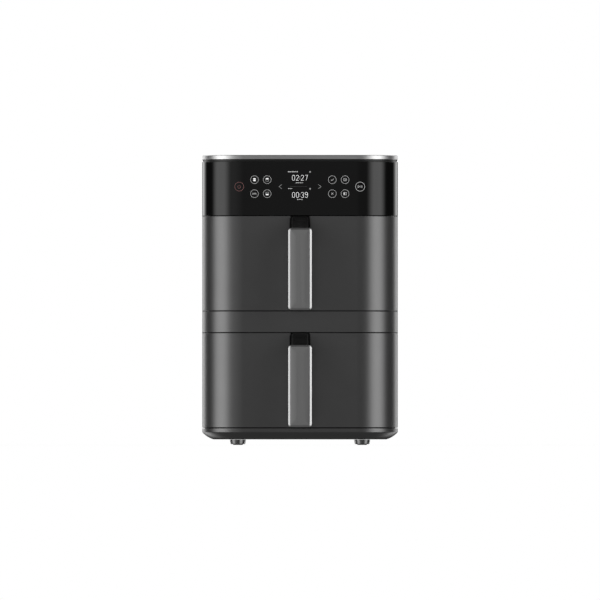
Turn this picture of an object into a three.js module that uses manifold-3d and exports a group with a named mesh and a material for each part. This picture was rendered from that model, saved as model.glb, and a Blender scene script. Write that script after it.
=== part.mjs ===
// A countertop air fryer with two drawers, one above the other.
//
// Millimetres. +X is to the right seen from the front, +Y runs from the front to the back, +Z is up.
// The origin lies on the surface that the feet stand on, under the middle of the overall box.
//
// The housing is a base tray, a U-shaped shell, a rear cover and a top, all fixed to each other. Each drawer
// is a painted front that wraps round the front corners, with a liner behind it, a pan and a handle. Behind
// each cooking chamber a motor turns a fan wheel in a fan box, which also holds the heating element.
import * as THREE from "three";
import { mergeVertices } from "three/addons/utils/BufferGeometryUtils.js";
import Module from "manifold-3d";

const wasm = await Module();
wasm.setup();

// ---------------------------------------------------------------- driving dimensions

// Body
const WIDTH = 274;
const BODY_DEPTH = 385; // drawer face to rear wall
const CORNER_RADIUS = 58; // of the body, seen from above
const HANDLE_REACH = 46; // handle's front face ahead of the drawer face
const HOOD_REACH = 9; // exhaust hood behind the rear wall
const OVERALL_DEPTH = HANDLE_REACH + BODY_DEPTH + HOOD_REACH;
const FRONT_Y = HANDLE_REACH - OVERALL_DEPTH / 2;
const REAR_Y = FRONT_Y + BODY_DEPTH;

// Gaps
const FIT = 0.3; // between pieces that touch
const SEAM = 1.4; // open seam round a drawer front
const PAST = 1; // how far a cutting shape runs past what it cuts

// Heights
const BASE_BOTTOM_Z = 7.8;
const BASE_BREAK_Z = 17.8; // the base's side turns inwards below this
const BASE_TOP_Z = 23.2;
const DRAWER_HEIGHT = 131.7;
const BAND_HEIGHT = 29;
const LOWER_Z = BASE_TOP_Z + SEAM;
const BAND_Z = LOWER_Z + DRAWER_HEIGHT + SEAM;
const UPPER_Z = BAND_Z + BAND_HEIGHT + SEAM;
const PANEL_Z = UPPER_Z + DRAWER_HEIGHT + SEAM;
const BODY_TOP_Z = 396.2;
const RING_Z = 399.5; // underside of the chrome ring
const TOTAL_HEIGHT = 405.5;

// Walls
const SKIN = 3; // front pieces
const SHELL = 2.5; // housing shell, base tray and rear cover
const SHEET = 1.2; // sheet metal
const WRAP = 61; // how far a drawer front runs back along the sides
const FRAME_FRONT = WRAP + SEAM; // front frame and housing shell start here
const FRAME_THICK = 4;
const FIXED_END_Y = FRONT_Y + FRAME_FRONT - 0.5; // fixed front pieces close up to the shell

const LEVELS = { lower: LOWER_Z, upper: UPPER_Z };
const SIDES = { left: -1, right: 1 };

// Below, the heights of what each level has are above the bottom of its drawer front, front, rear, start and end
// are distances behind the drawer face, and halfX is half a width.

// Base: an arc whose slope runs from BASE_ARC_END at the flat bottom to BASE_ARC_START at the side.
const BASE_ARC_START = THREE.MathUtils.degToRad(48);
const BASE_ARC_END = THREE.MathUtils.degToRad(17);
const BASE_ARC_STEPS = 3;
const BASE_ARC_RADIUS =
  (BASE_BREAK_Z - BASE_BOTTOM_Z) / (Math.cos(BASE_ARC_END) - Math.cos(BASE_ARC_START));
const INTAKE_SLOT = { width: 5, length: 70, pitch: 12, count: 5 };
const DECK = { thick: 2.2, ventHalfX: 60, ventSetback: 28, ventLength: 26 };
const FOOT = {
  x: 87.3,
  setback: 31,
  topRadius: 11.2,
  lowRadius: 10.2,
  padRadius: 7.5,
  padHeight: 1.2,
  sides: 14,
};

// Rear
const REAR_OPENING = { halfX: 74, z0: 42, z1: 378 };
const HOOD = { halfX: 56, z0: 70, z1: 350 };
const LOUVRE = { halfX: 44, height: 5, pitch: 10, count: 7 };
const GLAND = {
  x: 60,
  z: 56,
  body: 7.5,
  flange: 10.5,
  collar: 8,
  bore: 4,
  boreSides: 12,
  inside: 12, // how far it reaches in from the rear wall, and out
  outside: 2.4,
};

// Top
const GROOVE = { inset: 2.4, inner: 14 }; // shadow groove under the chrome ring
const SKIRT = { outer: 6.2, inner: 8.2, drop: 7 }; // insets of the top frame's skirt, and how far it hangs down
const RING = { inset: 0.3, width: 6, chamfer: 0.9 };
const COVER = { gap: 0.5, recess: 1.2, rim: 20 }; // recess is below the ring's upper edge

// Control panel
const CARRIER = { inset: SKIN + FIT, wall: 2.2, topGap: 0.5 };
const BOARD_WINDOW = { halfX: 92, z0: 331, z1: 386 };
const TOUCH_BOARD = { halfX: 86, z0: 332, z1: 385, thick: 1.6 };
const CONNECTOR = { halfX: 14, z0: 333, z1: 339, depth: 8 };
const BUZZER = { x: 50, z: 350, radius: 6, depth: 7, sides: 12 };
const DISPLAY = { halfX: 22, z0: 334, z1: 385 };

// Chambers and front frame
const CHAMBER = { halfX: 122, z0: 8, z1: 125.5, front: 66.8, rear: 300, radius: 10 };
const FRAME = { sideGap: 0.6, topDrop: 9 };
const WIRING_WINDOW = { halfX: 110, rise: 8, drop: 16 }; // above the panel's bottom and below the body's top
const SWITCH_START = FRAME_FRONT + FRAME_THICK + 0.4;
const SWITCH = { x: 128, z: 66, halfX: 4, halfZ: 8, start: SWITCH_START, depth: 19, recess: 8 };
const PLUNGER = { half: 2, proud: 1.2, inside: 7.5, hole: 3 };
const SENSOR = {
  x: 70,
  z: 116,
  hole: 3,
  probe: 2,
  ahead: 10,
  behind: 12,
  collar: 5,
  collarDepth: 3,
  sides: 10,
};
const RIM = { z0: 104.5, z1: 106, overhang: 4.6 }; // the pan's rim, which runs in the rails
const RAIL = { inner: 114.5, outer: 120.4, web: 1.4, ledge: 3, start: 67.2, end: 290, below: 0.5, above: 0.6 };

// Electronics over the upper chamber: starts are behind the drawer face or, on the board, its front edge.
const SHIELD = { halfX: 130, start: 68, end: 338, rise: 4 };
const SHIELD_Z = UPPER_Z + CHAMBER.z1 + SHIELD.rise;
const MAINS_BOARD = { halfX: 75, start: 150, length: 130, thick: 1.6 };
const BOARD_POST = { x: 66, inset: 9, radius: 3, height: 7, sides: 8 };
const RELAY = { x: [-60, -32], start: 20, length: 14, pitch: 24, count: 2, height: 16 };
const TRANSFORMER = { x: [-10, 20], start: 30, length: 32, height: 26 };
const CAPACITOR = { x: 44, start: 36, radius: 8, height: 30, sides: 12 };
const HEAT_SINK = { x: [-50, 40], start: 92, length: 6, height: 34 };

// Hot air: the fan box is a round bowl on the chamber's rear wall.
const FAN_CENTRE = 66.75; // height of the fan axis
const HEAT = { hole: 47, bowl: 53, flange: 57, depth: 42, shaftHole: 5, sides: 20 };
const BOWL_FRONT = CHAMBER.rear + FIT;
const BOWL_BACK = BOWL_FRONT + HEAT.depth;
const GUARD = { radius: HEAT.hole + 4, thick: 1.5, slots: 12, near: 16, far: 43, slotWidth: 7 };
const POST = { radius: 3, ring: 38, length: 9, count: 3, sides: 8 };
const TERMINAL = { x: 16, z: -44, hole: 4.2, sides: 10 }; // heater legs, from the fan axis
const ELEMENT = { ring: 45, radius: 3.2, ringY: 14, bendY: 30, bends: 14, steps: 42, legPast: 6 };
const SHAFT = { radius: 3, ahead: 6, nut: 5, nutSides: 6, sides: 12, endGap: 1 };
const WHEEL = { front: 318, back: 337, radius: 39, blades: 8, tilt: 25 };
const COOLER = { front: 344, back: 350, radius: 31, blades: 7, tilt: 15 };
const BLADING = { plate: 1.5, hub: 8, hubSides: 10, root: 9, lean: 6, thick: 1.5, margin: 1, sides: 20 };
const MOTOR = {
  front: BOWL_BACK + POST.length + FIT,
  back: 376,
  plate: 42,
  plateThick: 2,
  body: 26,
  boreGap: 0.5,
  sides: 20,
};

// Drawers: the pan's size is taken outside, at its rim.
const PAN = { halfX: 113, front: 24, rear: 286, radius: 28, bottom: 14, wall: 1.6, draft: 4.5, fillet: 8 };
const LINER = { wall: 2.5, clear: 0.6 };
const NOTCH = { halfX: 14.2, z0: 108 }; // where the handle's neck comes through the drawer front
const GRIP = { front: HANDLE_REACH, back: 26, bottom: 0.4, top: 115, halfX: 16.4, corner: 4.5, wrap: 13 };
const CAP = { chamfer: 2.8, edge: 1.6, face: 2.3, lip: 2.4, neckWay: 8 }; // walls of the cap over the grip
const NECK = {
  halfX: 11.5,
  corner: 5,
  top: DRAWER_HEIGHT - 0.6,
  bend: [4, 12, 20], // reaches of the upper edge's bend
  bendDrop: 7,
  under: [26, 12], // reaches of the lower edge's bend
  underZ: [92, 104, 107],
};

// Crisper plate
const PLATE = {
  halfX: 104.5,
  front: 33,
  rear: 277,
  radius: 20,
  z0: 27,
  thick: 2,
  leg: 5,
  legInset: 24,
  legSides: 10,
};
const PLATE_SLOT = { length: 40, width: 8, pitchX: 56, pitchY: 26, columns: 3, rows: 8, legClear: 12 };
const FINGER_HOLE = { radius: 13, clear: 12, sides: 20 };

// ---------------------------------------------------------------- materials

const paint = (color, roughness, metalness = 0) =>
  new THREE.MeshStandardMaterial({ color, roughness, metalness });
const GREY_PAINT = paint(0x3d3d3e, 0.42, 0.35);
const GLOSS_BLACK = paint(0x0b0b0c, 0.08);
const MATTE_BLACK = paint(0x18181a, 0.6);
const CHROME = paint(0xd8d8da, 0.12, 1);
const HANDLE_GREY = paint(0x6c6c6e, 0.35, 0.7);
const RUBBER = paint(0x202022, 0.85);
const NON_STICK = paint(0x232325, 0.45, 0.2);
const STEEL = paint(0x9b9da0, 0.35, 0.9);
const ALUMINISED = paint(0x9a9c9f, 0.45, 0.9);
const HEATER_STEEL = paint(0x5b5550, 0.5, 0.8);
const MOTOR_METAL = paint(0x8a8c90, 0.5, 0.7);
const BOARD_GREEN = paint(0x1d4a2c, 0.6);
const DISPLAY_GLASS = paint(0x101216, 0.1);

// ---------------------------------------------------------------- geometry helpers

// A closed geometry as a solid that can be joined and cut.
function solidOf(geometry) {
  const bare = geometry.clone();
  bare.deleteAttribute("normal");
  bare.deleteAttribute("uv");
  const merged = mergeVertices(bare, 1e-4);
  return new wasm.Manifold(
    new wasm.Mesh({
      numProp: 3,
      vertProperties: merged.attributes.position.array,
      triVerts: new Uint32Array(merged.index.array),
    }),
  );
}

// A solid as a geometry with flat faces.
function geometryOf(solid) {
  const mesh = solid.getMesh();
  const positions = new Float32Array(mesh.numVert * 3);
  for (let i = 0; i < mesh.numVert; i++) {
    positions.set(mesh.vertProperties.subarray(i * mesh.numProp, i * mesh.numProp + 3), i * 3);
  }
  const geometry = new THREE.BufferGeometry();
  geometry.setAttribute("position", new THREE.BufferAttribute(positions, 3));
  geometry.setIndex(new THREE.BufferAttribute(mesh.triVerts, 1));
  geometry.computeVertexNormals();
  return geometry;
}

const joined = (...solids) => solids.reduce((sum, next) => sum.add(next));
const cut = (body, ...tools) => tools.reduce((left, tool) => left.subtract(tool), body);

const CORNER_DIVISIONS = 3; // half the number of steps in each round corner

function extrude(shape, depth) {
  const options = { depth, bevelEnabled: false, curveSegments: CORNER_DIVISIONS };
  return new THREE.ExtrudeGeometry(shape, options);
}

// A plan outline raised from z0 to z1.
const prismZ = (shape, z0, z1) => solidOf(extrude(shape, z1 - z0).translate(0, 0, z0));

// An outline in X and Z, run from y0 to y1.
function prismY(shape, y0, y1) {
  const turn = new THREE.Matrix4().makeRotationX(Math.PI / 2);
  return solidOf(extrude(shape, y1 - y0).applyMatrix4(turn).translate(0, y1, 0));
}

// An outline in Y and Z, run from x0 to x1.
function prismX(shape, x0, x1) {
  const turn = new THREE.Matrix4().makeBasis(
    new THREE.Vector3(0, 1, 0),
    new THREE.Vector3(0, 0, 1),
    new THREE.Vector3(1, 0, 0),
  );
  return solidOf(extrude(shape, x1 - x0).applyMatrix4(turn).translate(x0, 0, 0));
}

function box([x0, x1], [y0, y1], [z0, z1]) {
  const block = new THREE.BoxGeometry(x1 - x0, y1 - y0, z1 - z0);
  return solidOf(block.translate((x0 + x1) / 2, (y0 + y1) / 2, (z0 + z1) / 2));
}

// A round bar along Y, Z or X, from a to b.
function rod(axis, radius, [u, v], a, b, sides = 16) {
  const bar = new THREE.CylinderGeometry(radius, radius, b - a, sides);
  if (axis === "y") return solidOf(bar.translate(u, (a + b) / 2, v));
  if (axis === "x") return solidOf(bar.rotateZ(Math.PI / 2).translate((a + b) / 2, u, v));
  return solidOf(bar.rotateX(Math.PI / 2).translate(u, v, (a + b) / 2));
}

// A profile of [radius, height] points turned about Z, and then stood along +Y where asked.
function turned(profile, sides, alongY = false) {
  const lathe = new THREE.LatheGeometry(
    profile.map(([radius, height]) => new THREE.Vector2(radius, height)),
    sides,
  );
  if (!alongY) lathe.rotateX(Math.PI / 2);
  return solidOf(lathe);
}

// A rectangle with round corners in two axes.
function roundedRect([x0, x1], [y0, y1], radius) {
  const shape = new THREE.Shape();
  shape.moveTo(x0, y1 - radius);
  shape.lineTo(x0, y0 + radius);
  shape.absarc(x0 + radius, y0 + radius, radius, Math.PI, 1.5 * Math.PI, false);
  shape.lineTo(x1 - radius, y0);
  shape.absarc(x1 - radius, y0 + radius, radius, 1.5 * Math.PI, 2 * Math.PI, false);
  shape.lineTo(x1, y1 - radius);
  shape.absarc(x1 - radius, y1 - radius, radius, 0, 0.5 * Math.PI, false);
  shape.lineTo(x0 + radius, y1);
  shape.absarc(x0 + radius, y1 - radius, radius, 0.5 * Math.PI, Math.PI, false);
  return shape;
}

// The body's whole plan outline, moved inwards by inset.
function bodyOutline(inset) {
  const half = WIDTH / 2 - inset;
  return roundedRect([-half, half], [FRONT_Y + inset, REAR_Y - inset], CORNER_RADIUS - inset);
}

// The front of the body's plan outline, cut off straight at endY.
function frontOutline(inset, endY) {
  const half = WIDTH / 2 - inset;
  const radius = CORNER_RADIUS - inset;
  const frontY = FRONT_Y + inset;
  const shape = new THREE.Shape();
  shape.moveTo(-half, endY);
  shape.lineTo(-half, frontY + radius);
  shape.absarc(-half + radius, frontY + radius, radius, Math.PI, 1.5 * Math.PI, false);
  shape.lineTo(half - radius, frontY);
  shape.absarc(half - radius, frontY + radius, radius, 1.5 * Math.PI, 2 * Math.PI, false);
  shape.lineTo(half, endY);
  return shape;
}

// A solid through level outlines of the same number of points, from the lowest to the highest.
function loft(outlines) {
  const count = outlines[0].points.length;
  const positions = [];
  const index = [];
  outlines.forEach(({ points, z }) => points.forEach((p) => positions.push(p.x, p.y, z)));
  for (let level = 0; level + 1 < outlines.length; level++) {
    for (let i = 0; i < count; i++) {
      const a = level * count + i;
      const b = level * count + ((i + 1) % count);
      index.push(a, b, b + count, a, b + count, a + count);
    }
  }
  const top = (outlines.length - 1) * count;
  THREE.ShapeUtils.triangulateShape(outlines[0].points, []).forEach(([a, b, c]) => index.push(a, c, b));
  THREE.ShapeUtils.triangulateShape(outlines[outlines.length - 1].points, []).forEach(([a, b, c]) =>
    index.push(top + a, top + b, top + c),
  );
  const geometry = new THREE.BufferGeometry();
  geometry.setAttribute("position", new THREE.BufferAttribute(new Float32Array(positions), 3));
  geometry.setIndex(index);
  return solidOf(geometry);
}

// The corner points of an outline, without the near-doubles where a line meets an arc.
function outlinePoints(shape) {
  const points = shape.getPoints(CORNER_DIVISIONS);
  return points.filter((point, i) => point.distanceTo(points[(i + 1) % points.length]) > 1e-3);
}

// ---------------------------------------------------------------- assembly

const airFryer = new THREE.Group();
airFryer.name = "air_fryer";

function add(name, solid, material, parent = airFryer) {
  const mesh = new THREE.Mesh(geometryOf(solid), material);
  mesh.name = name;
  parent.add(mesh);
}

// ---------------------------------------------------------------- base and feet

// Inset and height of the base's curved underside, from the flat bottom up.
function baseArc() {
  const arc = [];
  for (let i = 0; i <= BASE_ARC_STEPS; i++) {
    const slope = BASE_ARC_END + ((BASE_ARC_START - BASE_ARC_END) * i) / BASE_ARC_STEPS;
    arc.push({
      inset: BASE_ARC_RADIUS * (Math.sin(BASE_ARC_START) - Math.sin(slope)),
      z: BASE_BOTTOM_Z + BASE_ARC_RADIUS * (Math.cos(BASE_ARC_END) - Math.cos(slope)),
    });
  }
  return arc;
}

function baseTray() {
  const arc = baseArc();
  const level = (inset, z) => ({ points: outlinePoints(bodyOutline(inset)), z });
  const outside = loft([...arc.map(({ inset, z }) => level(inset, z)), level(0, BASE_TOP_Z)]);
  const inside = loft([
    level(arc[0].inset + SHELL, BASE_BOTTOM_Z + SHELL),
    level(SHELL, BASE_BREAK_Z + SHELL),
    level(SHELL, BASE_TOP_Z + PAST),
  ]);
  const slots = [];
  for (let i = 0; i < INTAKE_SLOT.count; i++) {
    const y = (i - (INTAKE_SLOT.count - 1) / 2) * INTAKE_SLOT.pitch;
    const half = INTAKE_SLOT.length / 2;
    slots.push(box([-half, half], [y, y + INTAKE_SLOT.width], [0, BASE_BOTTOM_Z + SHELL + PAST]));
  }
  return cut(outside, inside, ...slots);
}

// The plate over the base tray, with a vent at the rear for the cooling air.
function baseDeck() {
  const top = BASE_TOP_Z - FIT;
  const ventY = REAR_Y - DECK.ventSetback;
  const vent = box([-DECK.ventHalfX, DECK.ventHalfX], [ventY - DECK.ventLength, ventY], [0, top + PAST]);
  return cut(prismZ(bodyOutline(SHELL + FIT), top - DECK.thick, top), vent);
}

function foot() {
  const top = BASE_BOTTOM_Z - FIT;
  return turned(
    [
      [0, 0],
      [FOOT.padRadius, 0],
      [FOOT.lowRadius, FOOT.padHeight],
      [FOOT.topRadius, top],
      [0, top],
    ],
    FOOT.sides,
  );
}

add("base_tray", baseTray(), GREY_PAINT);
add("base_deck", baseDeck(), MATTE_BLACK);
for (const [side, sign] of Object.entries(SIDES)) {
  add(`foot_front_${side}`, foot().translate(sign * FOOT.x, FRONT_Y + FOOT.setback, 0), RUBBER);
  add(`foot_rear_${side}`, foot().translate(sign * FOOT.x, REAR_Y - FOOT.setback, 0), RUBBER);
}

// ---------------------------------------------------------------- housing shell and rear cover

function housingShell() {
  const shell = prismZ(bodyOutline(0), LOWER_Z, BODY_TOP_Z);
  const inside = prismZ(bodyOutline(SHELL), LOWER_Z - PAST, BODY_TOP_Z + PAST);
  const front = box([-WIDTH, WIDTH], [FRONT_Y - PAST, FRONT_Y + FRAME_FRONT], [0, TOTAL_HEIGHT]);
  const rear = box(
    [-REAR_OPENING.halfX, REAR_OPENING.halfX],
    [REAR_Y - SHELL - PAST, REAR_Y + PAST],
    [REAR_OPENING.z0, REAR_OPENING.z1],
  );
  return cut(shell, inside, front, rear);
}

function rearCover() {
  const plate = box(
    [-REAR_OPENING.halfX + FIT, REAR_OPENING.halfX - FIT],
    [REAR_Y - SHELL, REAR_Y],
    [REAR_OPENING.z0 + FIT, REAR_OPENING.z1 - FIT],
  );
  const hood = box([-HOOD.halfX, HOOD.halfX], [REAR_Y - SHELL, REAR_Y + HOOD_REACH], [HOOD.z0, HOOD.z1]);
  const hollow = box(
    [-HOOD.halfX + SHELL, HOOD.halfX - SHELL],
    [REAR_Y - SHELL - PAST, REAR_Y + HOOD_REACH - SHELL],
    [HOOD.z0 + SHELL, HOOD.z1 - SHELL],
  );
  const slots = [];
  for (const drawerZ of Object.values(LEVELS)) {
    for (let i = 0; i < LOUVRE.count; i++) {
      const z = drawerZ + FAN_CENTRE + (i - (LOUVRE.count - 1) / 2) * LOUVRE.pitch;
      slots.push(
        box(
          [-LOUVRE.halfX, LOUVRE.halfX],
          [REAR_Y, REAR_Y + HOOD_REACH + PAST],
          [z - LOUVRE.height / 2, z + LOUVRE.height / 2],
        ),
      );
    }
  }
  const glandHole = rod("y", GLAND.body + FIT, [GLAND.x, GLAND.z], REAR_Y - SHELL - PAST, REAR_Y + PAST);
  return cut(joined(plate, hood), hollow, glandHole, ...slots);
}

// The bush that the mains lead passes through.
function cordGland() {
  const spot = [GLAND.x, GLAND.z];
  const [y0, y1] = [REAR_Y - GLAND.inside, REAR_Y + GLAND.outside];
  const body = rod("y", GLAND.body, spot, y0, y1);
  const flange = rod("y", GLAND.flange, spot, REAR_Y + FIT, y1);
  const collar = rod("y", GLAND.flange, spot, REAR_Y - GLAND.collar, REAR_Y - SHELL - FIT);
  const bore = rod("y", GLAND.bore, spot, y0 - PAST, y1 + PAST, GLAND.boreSides);
  return cut(joined(body, flange, collar), bore);
}

add("housing_shell", housingShell(), GREY_PAINT);
add("rear_cover", rearCover(), MATTE_BLACK);
add("cord_gland", cordGland(), MATTE_BLACK);

// ---------------------------------------------------------------- top

function topFrame() {
  const flange = cut(
    prismZ(bodyOutline(GROOVE.inset), BODY_TOP_Z + FIT, RING_Z - FIT),
    prismZ(bodyOutline(GROOVE.inner), BODY_TOP_Z, RING_Z),
  );
  const [low, high] = [BODY_TOP_Z - SKIRT.drop, BODY_TOP_Z + 2 * FIT];
  const skirt = cut(
    prismZ(bodyOutline(SKIRT.outer), low, high),
    prismZ(bodyOutline(SKIRT.inner), low - PAST, high + PAST),
  );
  return joined(flange, skirt);
}

// A ring with a small chamfer on both outer edges.
function trimRing() {
  const level = (inset, z) => ({ points: outlinePoints(bodyOutline(inset)), z });
  const outside = loft([
    level(RING.inset + RING.chamfer, RING_Z),
    level(RING.inset, RING_Z + RING.chamfer),
    level(RING.inset, TOTAL_HEIGHT - RING.chamfer),
    level(RING.inset + RING.chamfer, TOTAL_HEIGHT),
  ]);
  return cut(outside, prismZ(bodyOutline(RING.inset + RING.width), RING_Z - PAST, TOTAL_HEIGHT + PAST));
}

function topCover() {
  const topZ = TOTAL_HEIGHT - COVER.recess;
  const plate = prismZ(bodyOutline(RING.inset + RING.width + COVER.gap), RING_Z, topZ);
  return cut(plate, prismZ(bodyOutline(COVER.rim), RING_Z - PAST, topZ - SHELL));
}

add("top_frame", topFrame(), MATTE_BLACK);
add("trim_ring", trimRing(), CHROME);
add("top_cover", topCover(), MATTE_BLACK);

// ---------------------------------------------------------------- control panel

function controlPanel() {
  const outside = prismZ(frontOutline(0, FIXED_END_Y), PANEL_Z, BODY_TOP_Z);
  return cut(outside, prismZ(frontOutline(SKIN, REAR_Y), PANEL_Z - PAST, BODY_TOP_Z + PAST));
}

// The floor and walls behind the gloss panel, with a window for the touch board.
function panelCarrier() {
  const z0 = PANEL_Z + FIT;
  const block = prismZ(frontOutline(CARRIER.inset, FIXED_END_Y), z0, BODY_TOP_Z - CARRIER.topGap);
  const hollow = prismZ(frontOutline(CARRIER.inset + CARRIER.wall, REAR_Y), z0 + SHELL, TOTAL_HEIGHT);
  const window = box(
    [-BOARD_WINDOW.halfX, BOARD_WINDOW.halfX],
    [FRONT_Y, FRONT_Y + CARRIER.inset + CARRIER.wall + PAST],
    [BOARD_WINDOW.z0, BOARD_WINDOW.z1],
  );
  return cut(block, hollow, window);
}

function touchBoard() {
  const y0 = FRONT_Y + CARRIER.inset + CARRIER.wall + FIT;
  const onBoard = y0 + TOUCH_BOARD.thick / 2;
  const board = box(
    [-TOUCH_BOARD.halfX, TOUCH_BOARD.halfX],
    [y0, y0 + TOUCH_BOARD.thick],
    [TOUCH_BOARD.z0, TOUCH_BOARD.z1],
  );
  const connector = box(
    [-CONNECTOR.halfX, CONNECTOR.halfX],
    [onBoard, y0 + CONNECTOR.depth],
    [CONNECTOR.z0, CONNECTOR.z1],
  );
  const buzzer = rod("y", BUZZER.radius, [BUZZER.x, BUZZER.z], onBoard, y0 + BUZZER.depth, BUZZER.sides);
  return joined(board, connector, buzzer);
}

function displayModule() {
  const y0 = FRONT_Y + CARRIER.inset;
  return box([-DISPLAY.halfX, DISPLAY.halfX], [y0, y0 + CARRIER.wall], [DISPLAY.z0, DISPLAY.z1]);
}

add("control_panel", controlPanel(), GLOSS_BLACK);
add("panel_carrier", panelCarrier(), MATTE_BLACK);
add("touch_board", touchBoard(), BOARD_GREEN);
add("display_module", displayModule(), DISPLAY_GLASS);

// ---------------------------------------------------------------- middle band and front frame

// The box between the two drawers, open at the back.
function middleBand() {
  const top = BAND_Z + BAND_HEIGHT;
  const block = prismZ(frontOutline(0, FIXED_END_Y), BAND_Z, top);
  return cut(block, prismZ(frontOutline(SKIN, REAR_Y), BAND_Z + SHELL, top - SHELL));
}

// Inner outline of a chamber, in X and Z.
const chamberMouth = (drawerZ) =>
  roundedRect(
    [-CHAMBER.halfX + SHEET, CHAMBER.halfX - SHEET],
    [drawerZ + CHAMBER.z0 + SHEET, drawerZ + CHAMBER.z1 - SHEET],
    CHAMBER.radius - SHEET,
  );

// The face of the body behind the drawer fronts, with a mouth for each chamber and a wiring window above.
function frontFrame() {
  const y0 = FRONT_Y + FRAME_FRONT;
  const through = [y0 - PAST, y0 + FRAME_THICK + PAST];
  const half = WIDTH / 2 - SHELL - FRAME.sideGap;
  const plate = box([-half, half], [y0, y0 + FRAME_THICK], [BASE_TOP_Z, BODY_TOP_Z - FRAME.topDrop]);
  const wiring = box(
    [-WIRING_WINDOW.halfX, WIRING_WINDOW.halfX],
    through,
    [PANEL_Z + WIRING_WINDOW.rise, BODY_TOP_Z - WIRING_WINDOW.drop],
  );
  const holes = [wiring];
  for (const drawerZ of Object.values(LEVELS)) {
    const z = drawerZ + SWITCH.z;
    holes.push(prismY(chamberMouth(drawerZ), ...through));
    holes.push(
      box(
        [SWITCH.x - PLUNGER.hole, SWITCH.x + PLUNGER.hole],
        through,
        [z - PLUNGER.hole, z + PLUNGER.hole],
      ),
    );
  }
  return cut(plate, ...holes);
}

add("middle_band", middleBand(), GREY_PAINT);
add("front_frame", frontFrame(), MATTE_BLACK);

// ---------------------------------------------------------------- electronics above the upper chamber

function heatShield() {
  const y = [FRONT_Y + SHIELD.start, FRONT_Y + SHIELD.end];
  return box([-SHIELD.halfX, SHIELD.halfX], y, [SHIELD_Z, SHIELD_Z + SHEET]);
}

// The mains board on its four posts, with its relays, capacitor, transformer and heat sink.
function powerBoard() {
  const postZ = SHIELD_Z + SHEET + FIT;
  const boardZ = postZ + BOARD_POST.height;
  const onBoard = boardZ + MAINS_BOARD.thick / 2;
  const top = boardZ + MAINS_BOARD.thick;
  const y0 = FRONT_Y + MAINS_BOARD.start;
  const y1 = y0 + MAINS_BOARD.length;
  const block = ({ x, start, length, height }) =>
    box(x, [y0 + start, y0 + start + length], [onBoard, top + height]);
  const pieces = [box([-MAINS_BOARD.halfX, MAINS_BOARD.halfX], [y0, y1], [boardZ, top])];
  for (const x of [-BOARD_POST.x, BOARD_POST.x]) {
    for (const y of [y0 + BOARD_POST.inset, y1 - BOARD_POST.inset]) {
      pieces.push(rod("z", BOARD_POST.radius, [x, y], postZ, onBoard, BOARD_POST.sides));
    }
  }
  for (let i = 0; i < RELAY.count; i++) pieces.push(block({ ...RELAY, start: RELAY.start + i * RELAY.pitch }));
  const { radius, height, sides } = CAPACITOR;
  pieces.push(rod("z", radius, [CAPACITOR.x, y0 + CAPACITOR.start], onBoard, top + height, sides));
  return joined(...pieces, block(TRANSFORMER), block(HEAT_SINK));
}

add("heat_shield", heatShield(), ALUMINISED);
add("power_board", powerBoard(), BOARD_GREEN);

// ---------------------------------------------------------------- cooking chambers

// A sheet-metal box, open at the front, with a round hole to the fan box in its rear wall.
function chamber() {
  const y0 = FRONT_Y + CHAMBER.front;
  const y1 = FRONT_Y + CHAMBER.rear;
  const outline = roundedRect([-CHAMBER.halfX, CHAMBER.halfX], [CHAMBER.z0, CHAMBER.z1], CHAMBER.radius);
  return cut(
    prismY(outline, y0, y1),
    prismY(chamberMouth(0), y0 - PAST, y1 - SHEET),
    rod("y", HEAT.hole, [0, FAN_CENTRE], y1 - SHEET - PAST, y1 + PAST, HEAT.sides),
    rod("y", SENSOR.hole, [SENSOR.x, SENSOR.z], y1 - SHEET - PAST, y1 + PAST, SENSOR.sides),
  );
}

// A C-shaped channel that the pan's rim slides in.
function rail(sign) {
  const low = RIM.z0 - RAIL.below;
  const high = RIM.z1 + RAIL.above;
  const span = (a, b) => (sign > 0 ? [a, b] : [-b, -a]);
  const [y0, y1] = [FRONT_Y + RAIL.start, FRONT_Y + RAIL.end];
  const channel = box(span(RAIL.inner, RAIL.outer), [y0, y1], [low - RAIL.ledge, high + RAIL.ledge]);
  const groove = box(
    span(RAIL.inner - PAST, RAIL.outer - RAIL.web),
    [y0 - PAST, y1 + PAST],
    [low, high],
  );
  return cut(channel, groove);
}

// A round cover over the chamber's rear hole, with slots for the air.
function fanGuard() {
  const y1 = FRONT_Y + CHAMBER.rear - SHEET - FIT;
  const y0 = y1 - GUARD.thick;
  const disc = rod("y", GUARD.radius, [0, FAN_CENTRE], y0, y1, HEAT.sides);
  const half = GUARD.slotWidth / 2;
  const slots = [];
  for (let i = 0; i < GUARD.slots; i++) {
    const slot = box([GUARD.near, GUARD.far], [y0 - PAST, y1 + PAST], [-half, half]);
    slots.push(slot.rotate([0, (i * 360) / GUARD.slots, 0]).translate(0, 0, FAN_CENTRE));
  }
  return cut(disc, ...slots);
}

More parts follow.
